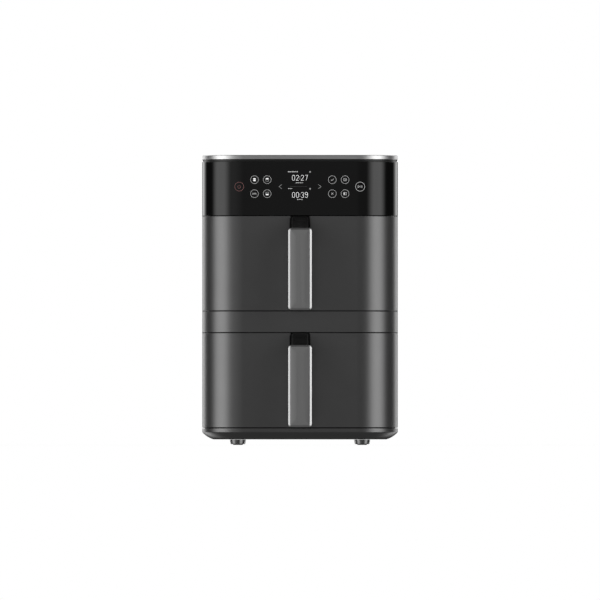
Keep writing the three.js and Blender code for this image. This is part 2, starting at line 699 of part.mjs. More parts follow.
// The round bowl behind the chamber, with three posts for the motor.
function fanBox() {
  const bowl = turned(
    [
      [HEAT.shaftHole, HEAT.depth],
      [HEAT.shaftHole, HEAT.depth - SHEET],
      [HEAT.bowl - SHEET, HEAT.depth - SHEET],
      [HEAT.bowl - SHEET, 0],
      [HEAT.flange, 0],
      [HEAT.flange, SHEET],
      [HEAT.bowl, SHEET],
      [HEAT.bowl, HEAT.depth],
      [HEAT.shaftHole, HEAT.depth],
    ],
    HEAT.sides,
    true,
  );
  const posts = [];
  for (let i = 0; i < POST.count; i++) {
    const angle = Math.PI / 2 + (i * 2 * Math.PI) / POST.count;
    const spot = [POST.ring * Math.cos(angle), POST.ring * Math.sin(angle)];
    posts.push(rod("y", POST.radius, spot, HEAT.depth - SHEET / 2, HEAT.depth + POST.length, POST.sides));
  }
  const holes = [-1, 1].map((sign) => {
    const spot = [sign * TERMINAL.x, TERMINAL.z];
    return rod("y", TERMINAL.hole, spot, HEAT.depth - SHEET - PAST, HEAT.depth + PAST, TERMINAL.sides);
  });
  return cut(joined(bowl, ...posts), ...holes).translate(0, FRONT_Y + BOWL_FRONT, FAN_CENTRE);
}

// A tube bent into a ring round the fan wheel, its two legs running back through the bowl.
function heatingElement() {
  const legEnd = HEAT.depth + ELEMENT.legPast;
  const lead = Math.atan2(TERMINAL.z, -TERMINAL.x);
  const sweep = 2 * Math.PI - 2 * Math.atan2(TERMINAL.x, -TERMINAL.z);
  const points = [
    new THREE.Vector3(-TERMINAL.x, legEnd, TERMINAL.z),
    new THREE.Vector3(-TERMINAL.x, ELEMENT.bendY, TERMINAL.z),
  ];
  for (let i = 1; i < ELEMENT.bends; i++) {
    const angle = lead - (sweep * i) / ELEMENT.bends;
    const ring = new THREE.Vector3(Math.cos(angle), 0, Math.sin(angle)).multiplyScalar(ELEMENT.ring);
    points.push(ring.setY(ELEMENT.ringY));
  }
  points.push(new THREE.Vector3(TERMINAL.x, ELEMENT.bendY, TERMINAL.z));
  points.push(new THREE.Vector3(TERMINAL.x, legEnd, TERMINAL.z));
  const section = new THREE.Shape();
  section.absarc(0, 0, ELEMENT.radius, 0, 2 * Math.PI, false);
  const extrudePath = new THREE.CatmullRomCurve3(points, false, "centripetal");
  const tube = new THREE.ExtrudeGeometry(section, { extrudePath, steps: ELEMENT.steps, curveSegments: 3 });
  return solidOf(tube).translate(0, FRONT_Y + BOWL_FRONT, FAN_CENTRE);
}

// ---------------------------------------------------------------- fans and motors

// A back plate with a hub and straight blades that stand forward of it.
function bladedWheel({ front, back, radius, blades, tilt }) {
  const { margin, root, lean, sides } = BLADING;
  const half = BLADING.thick / 2;
  const plate = rod("y", radius, [0, 0], back - BLADING.plate, back, sides);
  const hub = rod("y", BLADING.hub, [0, 0], front, back, BLADING.hubSides);
  const vanes = [];
  for (let i = 0; i < blades; i++) {
    const vane = box([root, radius - margin], [front + margin, back - margin], [-half, half]);
    vanes.push(vane.rotate([0, tilt, 0]).translate(lean, 0, 0).rotate([0, (i * 360) / blades, 0]));
  }
  const blading = joined(...vanes).intersect(rod("y", radius, [0, 0], front, back, sides));
  const bore = rod("y", SHAFT.radius + FIT, [0, 0], front - PAST, back + PAST, SHAFT.sides);
  return cut(joined(plate, hub, blading), bore).translate(0, FRONT_Y, FAN_CENTRE);
}

function fanShaft() {
  const front = WHEEL.front - SHAFT.ahead;
  const shaft = rod("y", SHAFT.radius, [0, 0], front, MOTOR.back - SHAFT.endGap, SHAFT.sides);
  const nut = rod("y", SHAFT.nut, [0, 0], front + 1, WHEEL.front - FIT, SHAFT.nutSides);
  return joined(shaft, nut).translate(0, FRONT_Y, FAN_CENTRE);
}

function fanMotor() {
  const { front, back, plateThick, sides } = MOTOR;
  const plate = rod("y", MOTOR.plate, [0, 0], front, front + plateThick, sides);
  const body = rod("y", MOTOR.body, [0, 0], front + plateThick / 2, back, sides);
  const bore = rod("y", SHAFT.radius + MOTOR.boreGap, [0, 0], front - PAST, back + PAST, SHAFT.sides);
  return cut(joined(plate, body), bore).translate(0, FRONT_Y, FAN_CENTRE);
}

function temperatureSensor() {
  const y = FRONT_Y + CHAMBER.rear;
  const spot = [SENSOR.x, SENSOR.z];
  const probe = rod("y", SENSOR.probe, spot, y - SENSOR.ahead, y + SENSOR.behind, SENSOR.sides);
  const collar = rod("y", SENSOR.collar, spot, y + FIT, y + SENSOR.collarDepth, SENSOR.sides);
  return joined(probe, collar);
}

// A microswitch beside the chamber's mouth. Its plunger reaches through the front frame to the drawer.
function drawerSwitch() {
  const { x, z, halfX, halfZ } = SWITCH;
  const y = FRONT_Y + SWITCH.start;
  const half = PLUNGER.half + FIT;
  const body = box([x - halfX, x + halfX], [y, y + SWITCH.depth], [z - halfZ, z + halfZ]);
  const recess = box([x - half, x + half], [y - PAST, y + SWITCH.recess], [z - half, z + half]);
  return cut(body, recess);
}

function switchPlunger() {
  const { x, z } = SWITCH;
  const { half } = PLUNGER;
  const y = [FRONT_Y + FRAME_FRONT - PLUNGER.proud, FRONT_Y + SWITCH.start + PLUNGER.inside];
  return box([x - half, x + half], y, [z - half, z + half]);
}

// ---------------------------------------------------------------- drawers

function panOutline(inset) {
  const half = PAN.halfX - inset;
  const y = [FRONT_Y + PAN.front + inset, FRONT_Y + PAN.rear - inset];
  return roundedRect([-half, half], y, PAN.radius - inset);
}

function panBody(inset, bottom, top, fillet) {
  const level = (extra, z) => ({ points: outlinePoints(panOutline(inset + extra)), z });
  const corner = Math.SQRT1_2 * fillet;
  return loft([
    level(PAN.draft + fillet, bottom),
    level(PAN.draft + fillet - corner, bottom + fillet - corner),
    level(PAN.draft, bottom + fillet),
    level(0, top),
  ]);
}

function pan() {
  const outside = panBody(0, PAN.bottom, RIM.z1, PAN.fillet);
  const rim = prismZ(panOutline(-RIM.overhang), RIM.z0, RIM.z1);
  const brim = RIM.z1 + FIT / 10;
  const inside = panBody(PAN.wall, PAN.bottom + PAN.wall, brim, PAN.fillet - PAN.wall);
  return cut(joined(outside, rim), inside);
}

function drawerFront() {
  const outside = prismZ(frontOutline(0, FRONT_Y + WRAP), 0, DRAWER_HEIGHT);
  const inside = prismZ(frontOutline(SKIN, REAR_Y), -PAST, DRAWER_HEIGHT + PAST);
  const notch = box(
    [-NOTCH.halfX, NOTCH.halfX],
    [FRONT_Y - PAST, FRONT_Y + SKIN + PAST],
    [NOTCH.z0, DRAWER_HEIGHT + PAST],
  );
  return cut(outside, inside, notch);
}

// Top and bottom plates and rear walls inside the drawer front, with a pocket that holds the pan.
function drawerLiner() {
  const { wall, clear } = LINER;
  const endY = FRONT_Y + WRAP - FIT;
  const top = DRAWER_HEIGHT - FIT;
  const block = prismZ(frontOutline(SKIN + FIT, endY), FIT, top);
  const pocketSize = (thick) => panOutline(-RIM.overhang - clear - thick);
  const pocket = prismZ(pocketSize(0), PAN.bottom - clear, DRAWER_HEIGHT + PAST);
  const pocketWall = prismZ(pocketSize(wall), PAN.bottom - clear - wall, DRAWER_HEIGHT + PAST);
  const core = box([-WIDTH, WIDTH], [FRONT_Y - PAST, endY - wall], [FIT + wall, top - wall]);
  return cut(block, cut(core, pocketWall), pocket);
}

// Side outline of the handle's neck and grip core, in Y and Z: out of the notch, forward and down.
function handleSide() {
  const reach = (forward) => FRONT_Y - forward;
  const [bendStart, bendTop, bendEnd] = NECK.bend;
  const [gripBack, underStart] = NECK.under;
  const [straightZ, cornerZ, underZ] = NECK.underZ;
  const coreFront = GRIP.front - CAP.face - FIT;
  const coreBottom = GRIP.bottom + CAP.lip + 2 * FIT;
  const side = new THREE.Shape();
  side.moveTo(reach(-SKIN), NECK.top);
  side.lineTo(reach(bendStart), NECK.top);
  side.quadraticCurveTo(reach(bendTop), NECK.top - 1, reach(bendEnd), NECK.top - NECK.bendDrop);
  side.lineTo(reach(GRIP.front - CAP.neckWay / 2), GRIP.top + 1);
  side.lineTo(reach(coreFront), GRIP.top - CAP.neckWay / 2);
  side.lineTo(reach(coreFront), coreBottom);
  side.lineTo(reach(gripBack), coreBottom);
  side.lineTo(reach(gripBack), straightZ);
  side.quadraticCurveTo(reach(gripBack), cornerZ, reach(underStart), underZ);
  side.lineTo(reach(-SKIN), NOTCH.z0 + 2 * FIT);
  return side;
}

function handleNeck() {
  const outline = roundedRect([-NECK.halfX, NECK.halfX], [GRIP.bottom, NECK.top], NECK.corner);
  const side = prismX(handleSide(), -NECK.halfX, NECK.halfX);
  return side.intersect(prismY(outline, FRONT_Y - HANDLE_REACH, FRONT_Y + SKIN + FIT));
}

// The cap over the front and sides of the grip, with chamfered front edges.
function handleCover() {
  const frontY = FRONT_Y - GRIP.front;
  const outline = (inset) =>
    roundedRect(
      [-GRIP.halfX + inset, GRIP.halfX - inset],
      [GRIP.bottom + inset, GRIP.top - inset],
      GRIP.corner - inset,
    );
  const ringAt = (inset, depth) => ({ points: outlinePoints(outline(inset)), z: -depth });
  const block = loft([ringAt(0, GRIP.wrap), ringAt(0, CAP.edge), ringAt(CAP.chamfer, 0)])
    .rotate([90, 0, 0])
    .translate(0, frontY, 0);
  const x = [-NECK.halfX - FIT, NECK.halfX + FIT];
  const y = [frontY + CAP.face, frontY + GRIP.wrap + PAST];
  const core = box(x, y, [GRIP.bottom + CAP.lip, GRIP.top - CAP.lip]);
  const neckWay = box(x, y, [GRIP.top - CAP.neckWay, GRIP.top + PAST]);
  return cut(block, core, neckWay);
}

// ---------------------------------------------------------------- crisper plates

// The raised plate that food lies on, with four legs, air slots and a finger hole.
function crisperPlate() {
  const y = [FRONT_Y + PLATE.front, FRONT_Y + PLATE.rear];
  const centreY = (y[0] + y[1]) / 2;
  const top = PLATE.z0 + PLATE.thick;
  const slab = prismZ(roundedRect([-PLATE.halfX, PLATE.halfX], y, PLATE.radius), PLATE.z0, top);
  const legX = PLATE.halfX - PLATE.legInset;
  const legY = (y[1] - y[0]) / 2 - PLATE.legInset;
  const floor = PAN.bottom + PAN.wall + FIT;
  const legs = [-1, 1].flatMap((u) =>
    [-1, 1].map((v) => rod("z", PLATE.leg, [u * legX, centreY + v * legY], floor, top, PLATE.legSides)),
  );
  const { length, width, columns, rows, legClear } = PLATE_SLOT;
  const fingerHole = rod("z", FINGER_HOLE.radius, [0, centreY], 0, top + PAST, FINGER_HOLE.sides);
  const holes = [fingerHole];
  for (let column = 0; column < columns; column++) {
    for (let row = 0; row < rows; row++) {
      const x = (column - (columns - 1) / 2) * PLATE_SLOT.pitchX;
      const slotY = centreY + (row - (rows - 1) / 2) * PLATE_SLOT.pitchY;
      const reachesLegX = Math.abs(x) + length / 2 > legX - PLATE.leg;
      const overLeg = reachesLegX && Math.abs(slotY - centreY) > legY - legClear;
      const overHole = Math.hypot(x, slotY - centreY) < FINGER_HOLE.radius + FINGER_HOLE.clear;
      if (overLeg || overHole) continue;
      holes.push(
        box(
          [x - length / 2, x + length / 2],
          [slotY - width / 2, slotY + width / 2],
          [PLATE.z0 - PAST, top + PAST],
        ),
      );
    }
  }
  return cut(joined(slab, ...legs), ...holes);
}

// ---------------------------------------------------------------- both levels

for (const [level, drawerZ] of Object.entries(LEVELS)) {
  const stage = new THREE.Group();
  stage.position.z = drawerZ;
  airFryer.add(stage);
  const place = (name, solid, material) => add(`${name}_${level}`, solid, material, stage);
  place("chamber", chamber(), ALUMINISED);
  place("rail_left", rail(-1), STEEL);
  place("rail_right", rail(1), STEEL);
  place("fan_guard", fanGuard(), STEEL);
  place("fan_box", fanBox(), ALUMINISED);
  place("heating_element", heatingElement(), HEATER_STEEL);
  place("fan_wheel", bladedWheel(WHEEL), ALUMINISED);
  place("cooling_fan", bladedWheel(COOLER), MATTE_BLACK);
  place("fan_shaft", fanShaft(), STEEL);
  place("fan_motor", fanMotor(), MOTOR_METAL);
  place("temperature_sensor", temperatureSensor(), STEEL);
  place("drawer_switch", drawerSwitch(), MATTE_BLACK);
  place("switch_plunger", switchPlunger(), MATTE_BLACK);
  place("drawer_front", drawerFront(), GREY_PAINT);
  place("drawer_liner", drawerLiner(), MATTE_BLACK);
  place("pan", pan(), NON_STICK);
  place("handle_neck", handleNeck(), MATTE_BLACK);
  place("handle_cover", handleCover(), HANDLE_GREY);
  place("crisper_plate", crisperPlate(), NON_STICK);
}

airFryer.updateMatrixWorld(true);
export default airFryer;
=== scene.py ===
"""A countertop air fryer with two stacked drawers, in a pale studio. Metres, +Z up, front towards -Y."""

import math

import bmesh
import bpy
from mathutils import Matrix, Vector


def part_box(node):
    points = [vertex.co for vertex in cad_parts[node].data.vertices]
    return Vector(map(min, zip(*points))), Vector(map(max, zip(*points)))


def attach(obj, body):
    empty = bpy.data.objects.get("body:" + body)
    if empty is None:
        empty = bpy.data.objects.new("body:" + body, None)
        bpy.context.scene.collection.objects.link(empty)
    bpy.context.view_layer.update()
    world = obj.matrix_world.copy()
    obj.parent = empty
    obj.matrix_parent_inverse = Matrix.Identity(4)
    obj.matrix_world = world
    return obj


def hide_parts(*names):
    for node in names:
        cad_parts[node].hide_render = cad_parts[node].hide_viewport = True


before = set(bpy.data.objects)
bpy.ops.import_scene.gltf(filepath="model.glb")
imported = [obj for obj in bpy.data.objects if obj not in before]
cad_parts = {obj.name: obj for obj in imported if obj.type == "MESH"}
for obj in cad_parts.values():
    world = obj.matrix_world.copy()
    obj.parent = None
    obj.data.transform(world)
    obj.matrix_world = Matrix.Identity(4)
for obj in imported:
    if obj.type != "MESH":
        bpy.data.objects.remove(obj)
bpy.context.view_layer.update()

# ---------------------------------------------------------------- sizes

MM = 0.001  # sizes here are in millimetres, and meshes are made in metres
TINY = 0.01
FRAME_WIDTH = 840  # what the camera's frame takes in, at the object
CORNER = 58  # round corners of the body, seen from above
CORNER_STEPS = 28
SKIN = 3  # front pieces
SHELL = 2.5  # housing, base tray and rear cover
SHEET = 1.2  # sheet metal
LEVELS = ("lower", "upper")



def box(node):
    """A CAD node's lowest and highest corners, in millimetres."""
    low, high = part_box(node)
    return low / MM, high / MM


plan_low, plan_high = box("base_tray")
HALF = plan_high.x
FRONT, REAR = plan_low.y, plan_high.y

# ---------------------------------------------------------------- materials


def shade(grey, tint=(1.0, 1.0, 1.0)):
    """A linear colour from a display grey of 0 to 255."""
    value = grey / 255
    linear = value / 12.92 if value <= 0.04045 else ((value + 0.055) / 1.055) ** 2.4
    return tuple(linear * part for part in tint)


SLOT_OF = {}  # the material slot name for each material


def surface(name, colour, roughness, metallic=0.0, mottle=0.05, grain=0.4, relief=4.0, stretch=(1, 1, 1),
            speckle=None, slot=None, **sockets):
    """A node material: faint colour clouds, and a fine grain in roughness and relief.

    grain is the grain's size in millimetres and relief its depth in micrometres.
    """
    material = bpy.data.materials.new(name)
    SLOT_OF[material.name] = slot or name
    material.use_nodes = True
    nodes, links = material.node_tree.nodes, material.node_tree.links
    shader = nodes["Principled BSDF"]
    shader.inputs["Metallic"].default_value = metallic
    for socket, value in sockets.items():
        shader.inputs[socket.replace("_", " ")].default_value = value
    place = nodes.new("ShaderNodeTexCoord")
    scaled = nodes.new("ShaderNodeMapping")
    scaled.inputs["Scale"].default_value = stretch
    links.new(place.outputs["Object"], scaled.inputs["Vector"])

    clouds = nodes.new("ShaderNodeTexNoise")
    clouds.inputs["Scale"].default_value = 30
    clouds.inputs["Detail"].default_value = 4
    links.new(scaled.outputs["Vector"], clouds.inputs["Vector"])
    tones = nodes.new("ShaderNodeValToRGB")
    tones.color_ramp.elements[0].position = 0.3
    tones.color_ramp.elements[1].position = 0.7
    tones.color_ramp.elements[0].color = (*(part * (1 - mottle) for part in colour), 1)
    tones.color_ramp.elements[1].color = (*(part * (1 + mottle) for part in colour), 1)
    links.new(clouds.outputs["Fac"], tones.inputs["Fac"])
    colour_out = tones.outputs["Color"]
    if speckle:
        dots = nodes.new("ShaderNodeTexVoronoi")
        dots.inputs["Scale"].default_value = 900
        near = nodes.new("ShaderNodeMapRange")
        near.inputs["From Min"].default_value = 0.12
        near.inputs["From Max"].default_value = 0.2
        near.inputs["To Min"].default_value = 1.0
        near.inputs["To Max"].default_value = 0.0
        mix = nodes.new("ShaderNodeMix")
        mix.data_type = "RGBA"
        mix.inputs["B"].default_value = (*speckle, 1)
        links.new(scaled.outputs["Vector"], dots.inputs["Vector"])
        links.new(dots.outputs["Distance"], near.inputs["Value"])
        links.new(near.outputs["Result"], mix.inputs["Factor"])
        links.new(colour_out, mix.inputs["A"])
        colour_out = mix.outputs["Result"]
    links.new(colour_out, shader.inputs["Base Color"])

    fine = nodes.new("ShaderNodeTexNoise")
    fine.inputs["Scale"].default_value = 1 / (grain * MM)
    fine.inputs["Detail"].default_value = 2
    links.new(scaled.outputs["Vector"], fine.inputs["Vector"])
    rough = nodes.new("ShaderNodeMapRange")
    rough.inputs["From Min"].default_value = 0.3
    rough.inputs["From Max"].default_value = 0.7
    rough.inputs["To Min"].default_value = roughness * 0.88
    rough.inputs["To Max"].default_value = min(1.0, roughness * 1.12)
    links.new(fine.outputs["Fac"], rough.inputs["Value"])
    links.new(rough.outputs["Result"], shader.inputs["Roughness"])
    bump = nodes.new("ShaderNodeBump")
    bump.inputs["Strength"].default_value = 1.0
    bump.inputs["Distance"].default_value = relief * 1e-6
    links.new(fine.outputs["Fac"], bump.inputs["Height"])
    links.new(bump.outputs["Normal"], shader.inputs["Normal"])
    return material


def lit(name, colour, strength):
    """A lit or printed mark: its glow varies a little over its face."""
    material = surface(name, colour, 0.5, mottle=0.03, relief=1.0, slot="display")
    shader = material.node_tree.nodes["Principled BSDF"]
    shader.inputs["Emission Color"].default_value = (*colour, 1)
    shader.inputs["Emission Strength"].default_value = strength
    return material


GREY_PAINT = surface("grey_paint", shade(111), 0.31, metallic=0.7, mottle=0.02, grain=0.35, relief=1.0)
GLOSS_BLACK = surface("gloss_black", shade(18), 0.06, mottle=0.05, grain=4.0, relief=0.5,
                      Specular_IOR_Level=0.45)
MATTE_BLACK = surface("matte_black", shade(30), 0.5, mottle=0.06, grain=0.5, relief=14.0)
SOFT_BLACK = surface("soft_black", shade(26), 0.42, mottle=0.04, grain=0.5, relief=2.0, slot="matte_black")
FOOT_GREY = surface("foot_grey", shade(118), 0.3, metallic=0.8, mottle=0.03, grain=0.4, relief=1.0,
                    slot="grey_paint")
CHROME = surface("chrome", shade(212), 0.38, metallic=1.0, mottle=0.01, grain=2.0, relief=0.5)
HANDLE_GREY = surface("handle_grey", shade(194), 0.33, metallic=1.0, mottle=0.01, grain=1.2, relief=0.03,
                      stretch=(1, 1, 0.01))
RUBBER = surface("rubber", shade(34), 0.75, mottle=0.1, grain=0.6, relief=20.0)
NON_STICK = surface("non_stick", shade(44), 0.4, mottle=0.08, grain=0.5, relief=8.0, speckle=shade(95))
STEEL = surface("steel", shade(165), 0.32, metallic=1.0, mottle=0.04, grain=0.3, relief=2.0,
                stretch=(1, 0.05, 1))
ALUMINISED = surface("aluminised", shade(178), 0.42, metallic=1.0, mottle=0.12, grain=1.5, relief=6.0)
HEATER = surface("heater", shade(92, (1.05, 1.0, 0.93)), 0.45, metallic=0.9, mottle=0.2, grain=0.8,
                 relief=6.0)
MOTOR = surface("motor", shade(150), 0.4, metallic=1.0, mottle=0.06, grain=0.6, relief=4.0)
BOARD = surface("board", (0.02, 0.11, 0.045), 0.35, mottle=0.1, grain=0.8, relief=6.0)
SILICONE = surface("silicone", shade(52), 0.6, mottle=0.06, grain=0.8, relief=8.0, slot="rubber")
DISPLAY = surface("display", shade(14), 0.12, mottle=0.05, grain=2.0, relief=1.0)
MARK_FAINT = lit("mark_faint", shade(48), 1.0)
MARK_DIM = lit("mark_dim", shade(120), 1.0)
MARK_MID = lit("mark_mid", shade(165), 1.0)
MARK_BRIGHT = lit("mark_bright", shade(215), 1.0)
MARK_RED = lit("mark_red", shade(96, (1.0, 0.42, 0.42)), 1.0)
FLOOR = surface("floor", shade(250), 0.7, mottle=0.01, grain=3.0, relief=10.0)

# ---------------------------------------------------------------- building meshes


def smooth_object(name, mesh, material, angle=32):
    """An object with smooth shading inside, and sharp edges above angle degrees."""
    mesh.materials.clear()
    mesh.materials.append(material)
    mesh.shade_smooth()
    mesh.set_sharp_from_angle(angle=math.radians(angle))
    obj = bpy.data.objects.new(name, mesh)
    bpy.context.scene.collection.objects.link(obj)
    return obj


def build(name, parts, material, bevel=0.0, angle=32):
    """One object from several (points, faces) parts, its faces turned outwards and its edges rounded."""
    mesh = bpy.data.meshes.new(name)
    bm = bmesh.new()
    for points, faces in parts:
        corners = [bm.verts.new(Vector(point) * MM) for point in points]
        for face in faces:
            bm.faces.new([corners[i] for i in face])
    bmesh.ops.recalc_face_normals(bm, faces=bm.faces)
    bm.to_mesh(mesh)
    bm.free()
    obj = smooth_object(name, mesh, material, angle)
    if bevel:
        rounding = obj.modifiers.new("rounding", "BEVEL")
        rounding.width = bevel * MM
        rounding.segments = 3
        rounding.limit_method = "ANGLE"
        rounding.angle_limit = math.radians(40)
        rounding.harden_normals = True
    weights = obj.modifiers.new("weights", "WEIGHTED_NORMAL")
    weights.keep_sharp = True
    return obj


def bake(obj):
    """Applies an object's modifiers to its mesh."""
    view = bpy.context.evaluated_depsgraph_get()
    mesh = bpy.data.meshes.new_from_object(obj.evaluated_get(view))
    old = obj.data
    obj.modifiers.clear()
    obj.data = mesh
    bpy.data.meshes.remove(old)
    return obj


def carve(obj, *cutters):
    """Cuts other objects out of obj and removes them."""
    for cutter in cutters:
        cut = obj.modifiers.new("cut", "BOOLEAN")
        cut.operation = "DIFFERENCE"
        cut.solver = "EXACT"
        cut.object = cutter
        bpy.context.view_layer.update()
        bake(obj)
        bpy.data.objects.remove(cutter)
    obj.data.shade_smooth()
    obj.data.set_sharp_from_angle(angle=math.radians(32))
    weights = obj.modifiers.new("weights", "WEIGHTED_NORMAL")
    weights.keep_sharp = True
    return obj


def arc(centre, radius, start, end, steps):
    """Points on an arc, from start to end degrees."""
    turns = [math.radians(start + (end - start) * i / steps) for i in range(steps + 1)]
    return [(centre[0] + radius * math.cos(a), centre[1] + radius * math.sin(a)) for a in turns]


def rounded(x0, x1, y0, y1, radius, steps=8):
    """A closed rectangle with round corners, counter-clockwise."""
    r = max(radius, TINY)
    spots = [((x0 + r, y0 + r), 180), ((x1 - r, y0 + r), 270), ((x1 - r, y1 - r), 0),
             ((x0 + r, y1 - r), 90)]
    return [point for centre, start in spots for point in arc(centre, r, start, start + 90, steps)]


def body_ring(inset):
    """The body's closed plan outline, moved in by inset."""
    return rounded(-HALF + inset, HALF - inset, FRONT + inset, REAR - inset, CORNER - inset, CORNER_STEPS)


def wrap_stations(end_y, edge, rear=False):
    """Stations of a U-shaped wall round the front, or the rear.

    Each gives x and y for an inset, and how far the section is drawn in there, which rounds the two ends.
    """
    middle = REAR - CORNER if rear else FRONT + CORNER
    sense = 1 if rear else -1
    turns = [i / CORNER_STEPS * math.pi / 2 for i in range(CORNER_STEPS + 1)]
    ends = [i / 3 * math.pi / 2 for i in range(4)]

    def side(sign, turn):
        y = end_y + sense * edge * (1 - math.cos(turn))
        return lambda inset: (sign * (HALF - inset), y), edge * (1 - math.sin(turn))

    def corner(sign, turn):
        across, along = math.cos(turn), math.sin(turn)
        return (
            lambda inset: (
                sign * (HALF - CORNER + (CORNER - inset) * across),
                middle + sense * (CORNER - inset) * along,
            ),
            0.0,
        )

    left = [side(-1, turn) for turn in ends] + [corner(-1, turn) for turn in turns]
    right = [side(1, turn) for turn in ends] + [corner(1, turn) for turn in turns]
    return left + right[::-1]


def wall(section, stations):
    """A wall: section(drawn_in), a list of (inset, z), is carried along stations and closed at both ends."""
    points, faces, rings = [], [], []
    for spot, drawn_in in stations:
        ring = []
        for inset, z in section(drawn_in):
            ring.append(len(points))
            points.append((*spot(inset), z))
        rings.append(ring)
    for a, b in zip(rings, rings[1:]):
        for i in range(len(a)):
            k = (i + 1) % len(a)
            faces.append((a[i], a[k], b[k], b[i]))
    faces.append(rings[0])
    faces.append(rings[-1])
    return points, faces


def skin_section(thickness, low, high, outer=0.8, inner=0.3, near=0.0, steps=5):
    """The section of a wall from inset near inwards, its outer and inner edges rounded."""

    def section(drawn_in):
        a, b = near + drawn_in, near + thickness - drawn_in
        bottom, top = low + drawn_in, high - drawn_in
        big, small = max(outer - drawn_in, TINY), max(inner - drawn_in, TINY)
        return [
            *arc((a + big, bottom + big), big, 270, 180, steps),
            *arc((a + big, top - big), big, 180, 90, steps),
            *arc((b - small, top - small), small, 90, 0, 2),
            *arc((b - small, bottom + small), small, 0, -90, 2),
        ]

    return section


def rim(profile, outline):
    """A closed profile of (inset, z) carried right round a closed plan outline."""
    lines = [outline(inset) for inset, _ in profile]
    count = len(lines[0])
    points = [(x, y, z) for line, (_, z) in zip(lines, profile) for x, y in line]
    faces = []
    for i in range(len(profile)):
        a, b = i * count, (i + 1) % len(profile) * count
        for j in range(count):
            k = (j + 1) % count
            faces.append((a + j, a + k, b + k, b + j))
    return points, faces


def stack(profile, outline):
    """A closed solid through plan outlines at (inset, z), from its lowest cap to its last one."""
    return loft([[(x, y, z) for x, y in outline(inset)] for inset, z in profile])


def front_block(low, high, end_y, near=0.0, edge=0.6):
    """A solid block inside the front's outline, straight at its back, with rounded edges."""
    rings = []
    for u in (0, 30, 60, 90):
        rings.append((edge * (1 - math.sin(math.radians(u))), low + edge * (1 - math.cos(math.radians(u)))))
    rings += [(inset, low + high - z) for inset, z in rings[::-1]]
    stations = wrap_stations(end_y, TINY)
    layers = []
    for inset, z in rings:
        line = [spot(near + inset) for spot, _ in stations]
        layers.append([(x, min(y, end_y - inset), z) for x, y in line])
    return loft(layers)


def loft(rings, capped=True):
    """A skin over rings of points, with its two ends closed."""
    count = len(rings[0])
    points = [tuple(point) for ring in rings for point in ring]
    faces = []
    for i in range(len(rings) - 1):
        for j in range(count):
            k = (j + 1) % count
            faces.append((i * count + j, i * count + k, (i + 1) * count + k, (i + 1) * count + j))
    if capped:
        faces.append(tuple(range(count)))
        faces.append(tuple(range((len(rings) - 1) * count, len(rings) * count)))
    return points, faces


def prism(outline, low, high, axis="z"):
    """A closed 2D outline raised along an axis."""
    turn = {
        "x": lambda u, v, w: (w, u, v),
        "y": lambda u, v, w: (u, w, v),
        "z": lambda u, v, w: (u, v, w),
    }[axis]
    return loft([[turn(u, v, w) for u, v in outline] for w in (low, high)])


def turned(profile, centre, steps=48, axis="z"):
    """A (radius, height) profile turned round an axis through centre."""
    rings = []
    for radius, height in profile:
        ring = arc((0, 0), max(radius, TINY / 10), 0, 360 - 360 / steps, steps - 1)
        if axis == "z":
            rings.append([(centre[0] + u, centre[1] + v, centre[2] + height) for u, v in ring])
        else:
            rings.append([(centre[0] + u, centre[1] + height, centre[2] + v) for u, v in ring])
    return loft(rings)


def slab(x, y, z):
    """A plain block between two values on each axis."""
    return prism([(x[0], y[0]), (x[1], y[0]), (x[1], y[1]), (x[0], y[1])], *z)


def curve_mesh(name, curve, turn=Matrix()):
    """The mesh of a curve drawn in millimetres, turned and put in its place."""
    holder = bpy.data.objects.new(name, curve)
    bpy.context.scene.collection.objects.link(holder)
    view = bpy.context.evaluated_depsgraph_get()
    mesh = bpy.data.meshes.new_from_object(holder.evaluated_get(view))
    bpy.data.objects.remove(holder)
    bpy.data.curves.remove(curve)
    mesh.transform(Matrix.Scale(MM, 4) @ turn)
    mesh.name = name
    return mesh


def cut_plate(name, outer, holes, low, high, material, axis="z", edge=0.0):
    """A flat plate with holes, its edges rounded by edge."""
    curve = bpy.data.curves.new(name, "CURVE")
    curve.dimensions = "2D"
    curve.fill_mode = "BOTH"
    curve.extrude = (high - low) / 2 - edge
    curve.bevel_depth = edge
    curve.bevel_resolution = 2
    curve.offset = -edge
    for outline in (outer, *holes):
        spline = curve.splines.new("POLY")
        spline.points.add(len(outline) - 1)
        for point, (u, v) in zip(spline.points, outline):
            point.co = (u, v, 0, 1)
        spline.use_cyclic_u = True
    middle = (low + high) / 2
    upright = Matrix(((1, 0, 0, 0), (0, 0, -1, 0), (0, 1, 0, 0), (0, 0, 0, 1)))
    turn = {
        "z": Matrix.Translation((0, 0, middle)),
        "y": Matrix.Translation((0, middle, 0)) @ upright,
    }[axis]
    mesh = curve_mesh(name, curve, turn)
    bm = bmesh.new()
    bm.from_mesh(mesh)
    bmesh.ops.remove_doubles(bm, verts=bm.verts, dist=1e-6)
    bmesh.ops.recalc_face_normals(bm, faces=bm.faces)
    bm.to_mesh(mesh)
    bm.free()
    return smooth_object(name, mesh, material, 40)


def tube(name, points, radius, material, resolution=6):
    """A round tube along a smooth line of points."""
    curve = bpy.data.curves.new(name, "CURVE")
    curve.dimensions = "3D"
    curve.bevel_depth = radius
    curve.bevel_resolution = resolution
    curve.use_fill_caps = True
    curve.resolution_u = 6
    spline = curve.splines.new("NURBS")
    spline.points.add(len(points) - 1)
    for point, place in zip(spline.points, points):
        point.co = (*place, 1)
    spline.order_u = 3
    spline.use_endpoint_u = True
    return smooth_object(name, curve_mesh(name, curve), material)


def place(obj, body, *nodes, slot=None):
    """The piece moves with a body, and stands for CAD nodes, which are hidden."""
    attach(obj, body)
    slot or SLOT_OF[obj.data.materials[0].name]
    if nodes:
        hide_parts(*nodes)


def add(name, parts, material, body, *nodes, bevel=0.0):
    place(build(name, parts, material, bevel), body, *nodes)


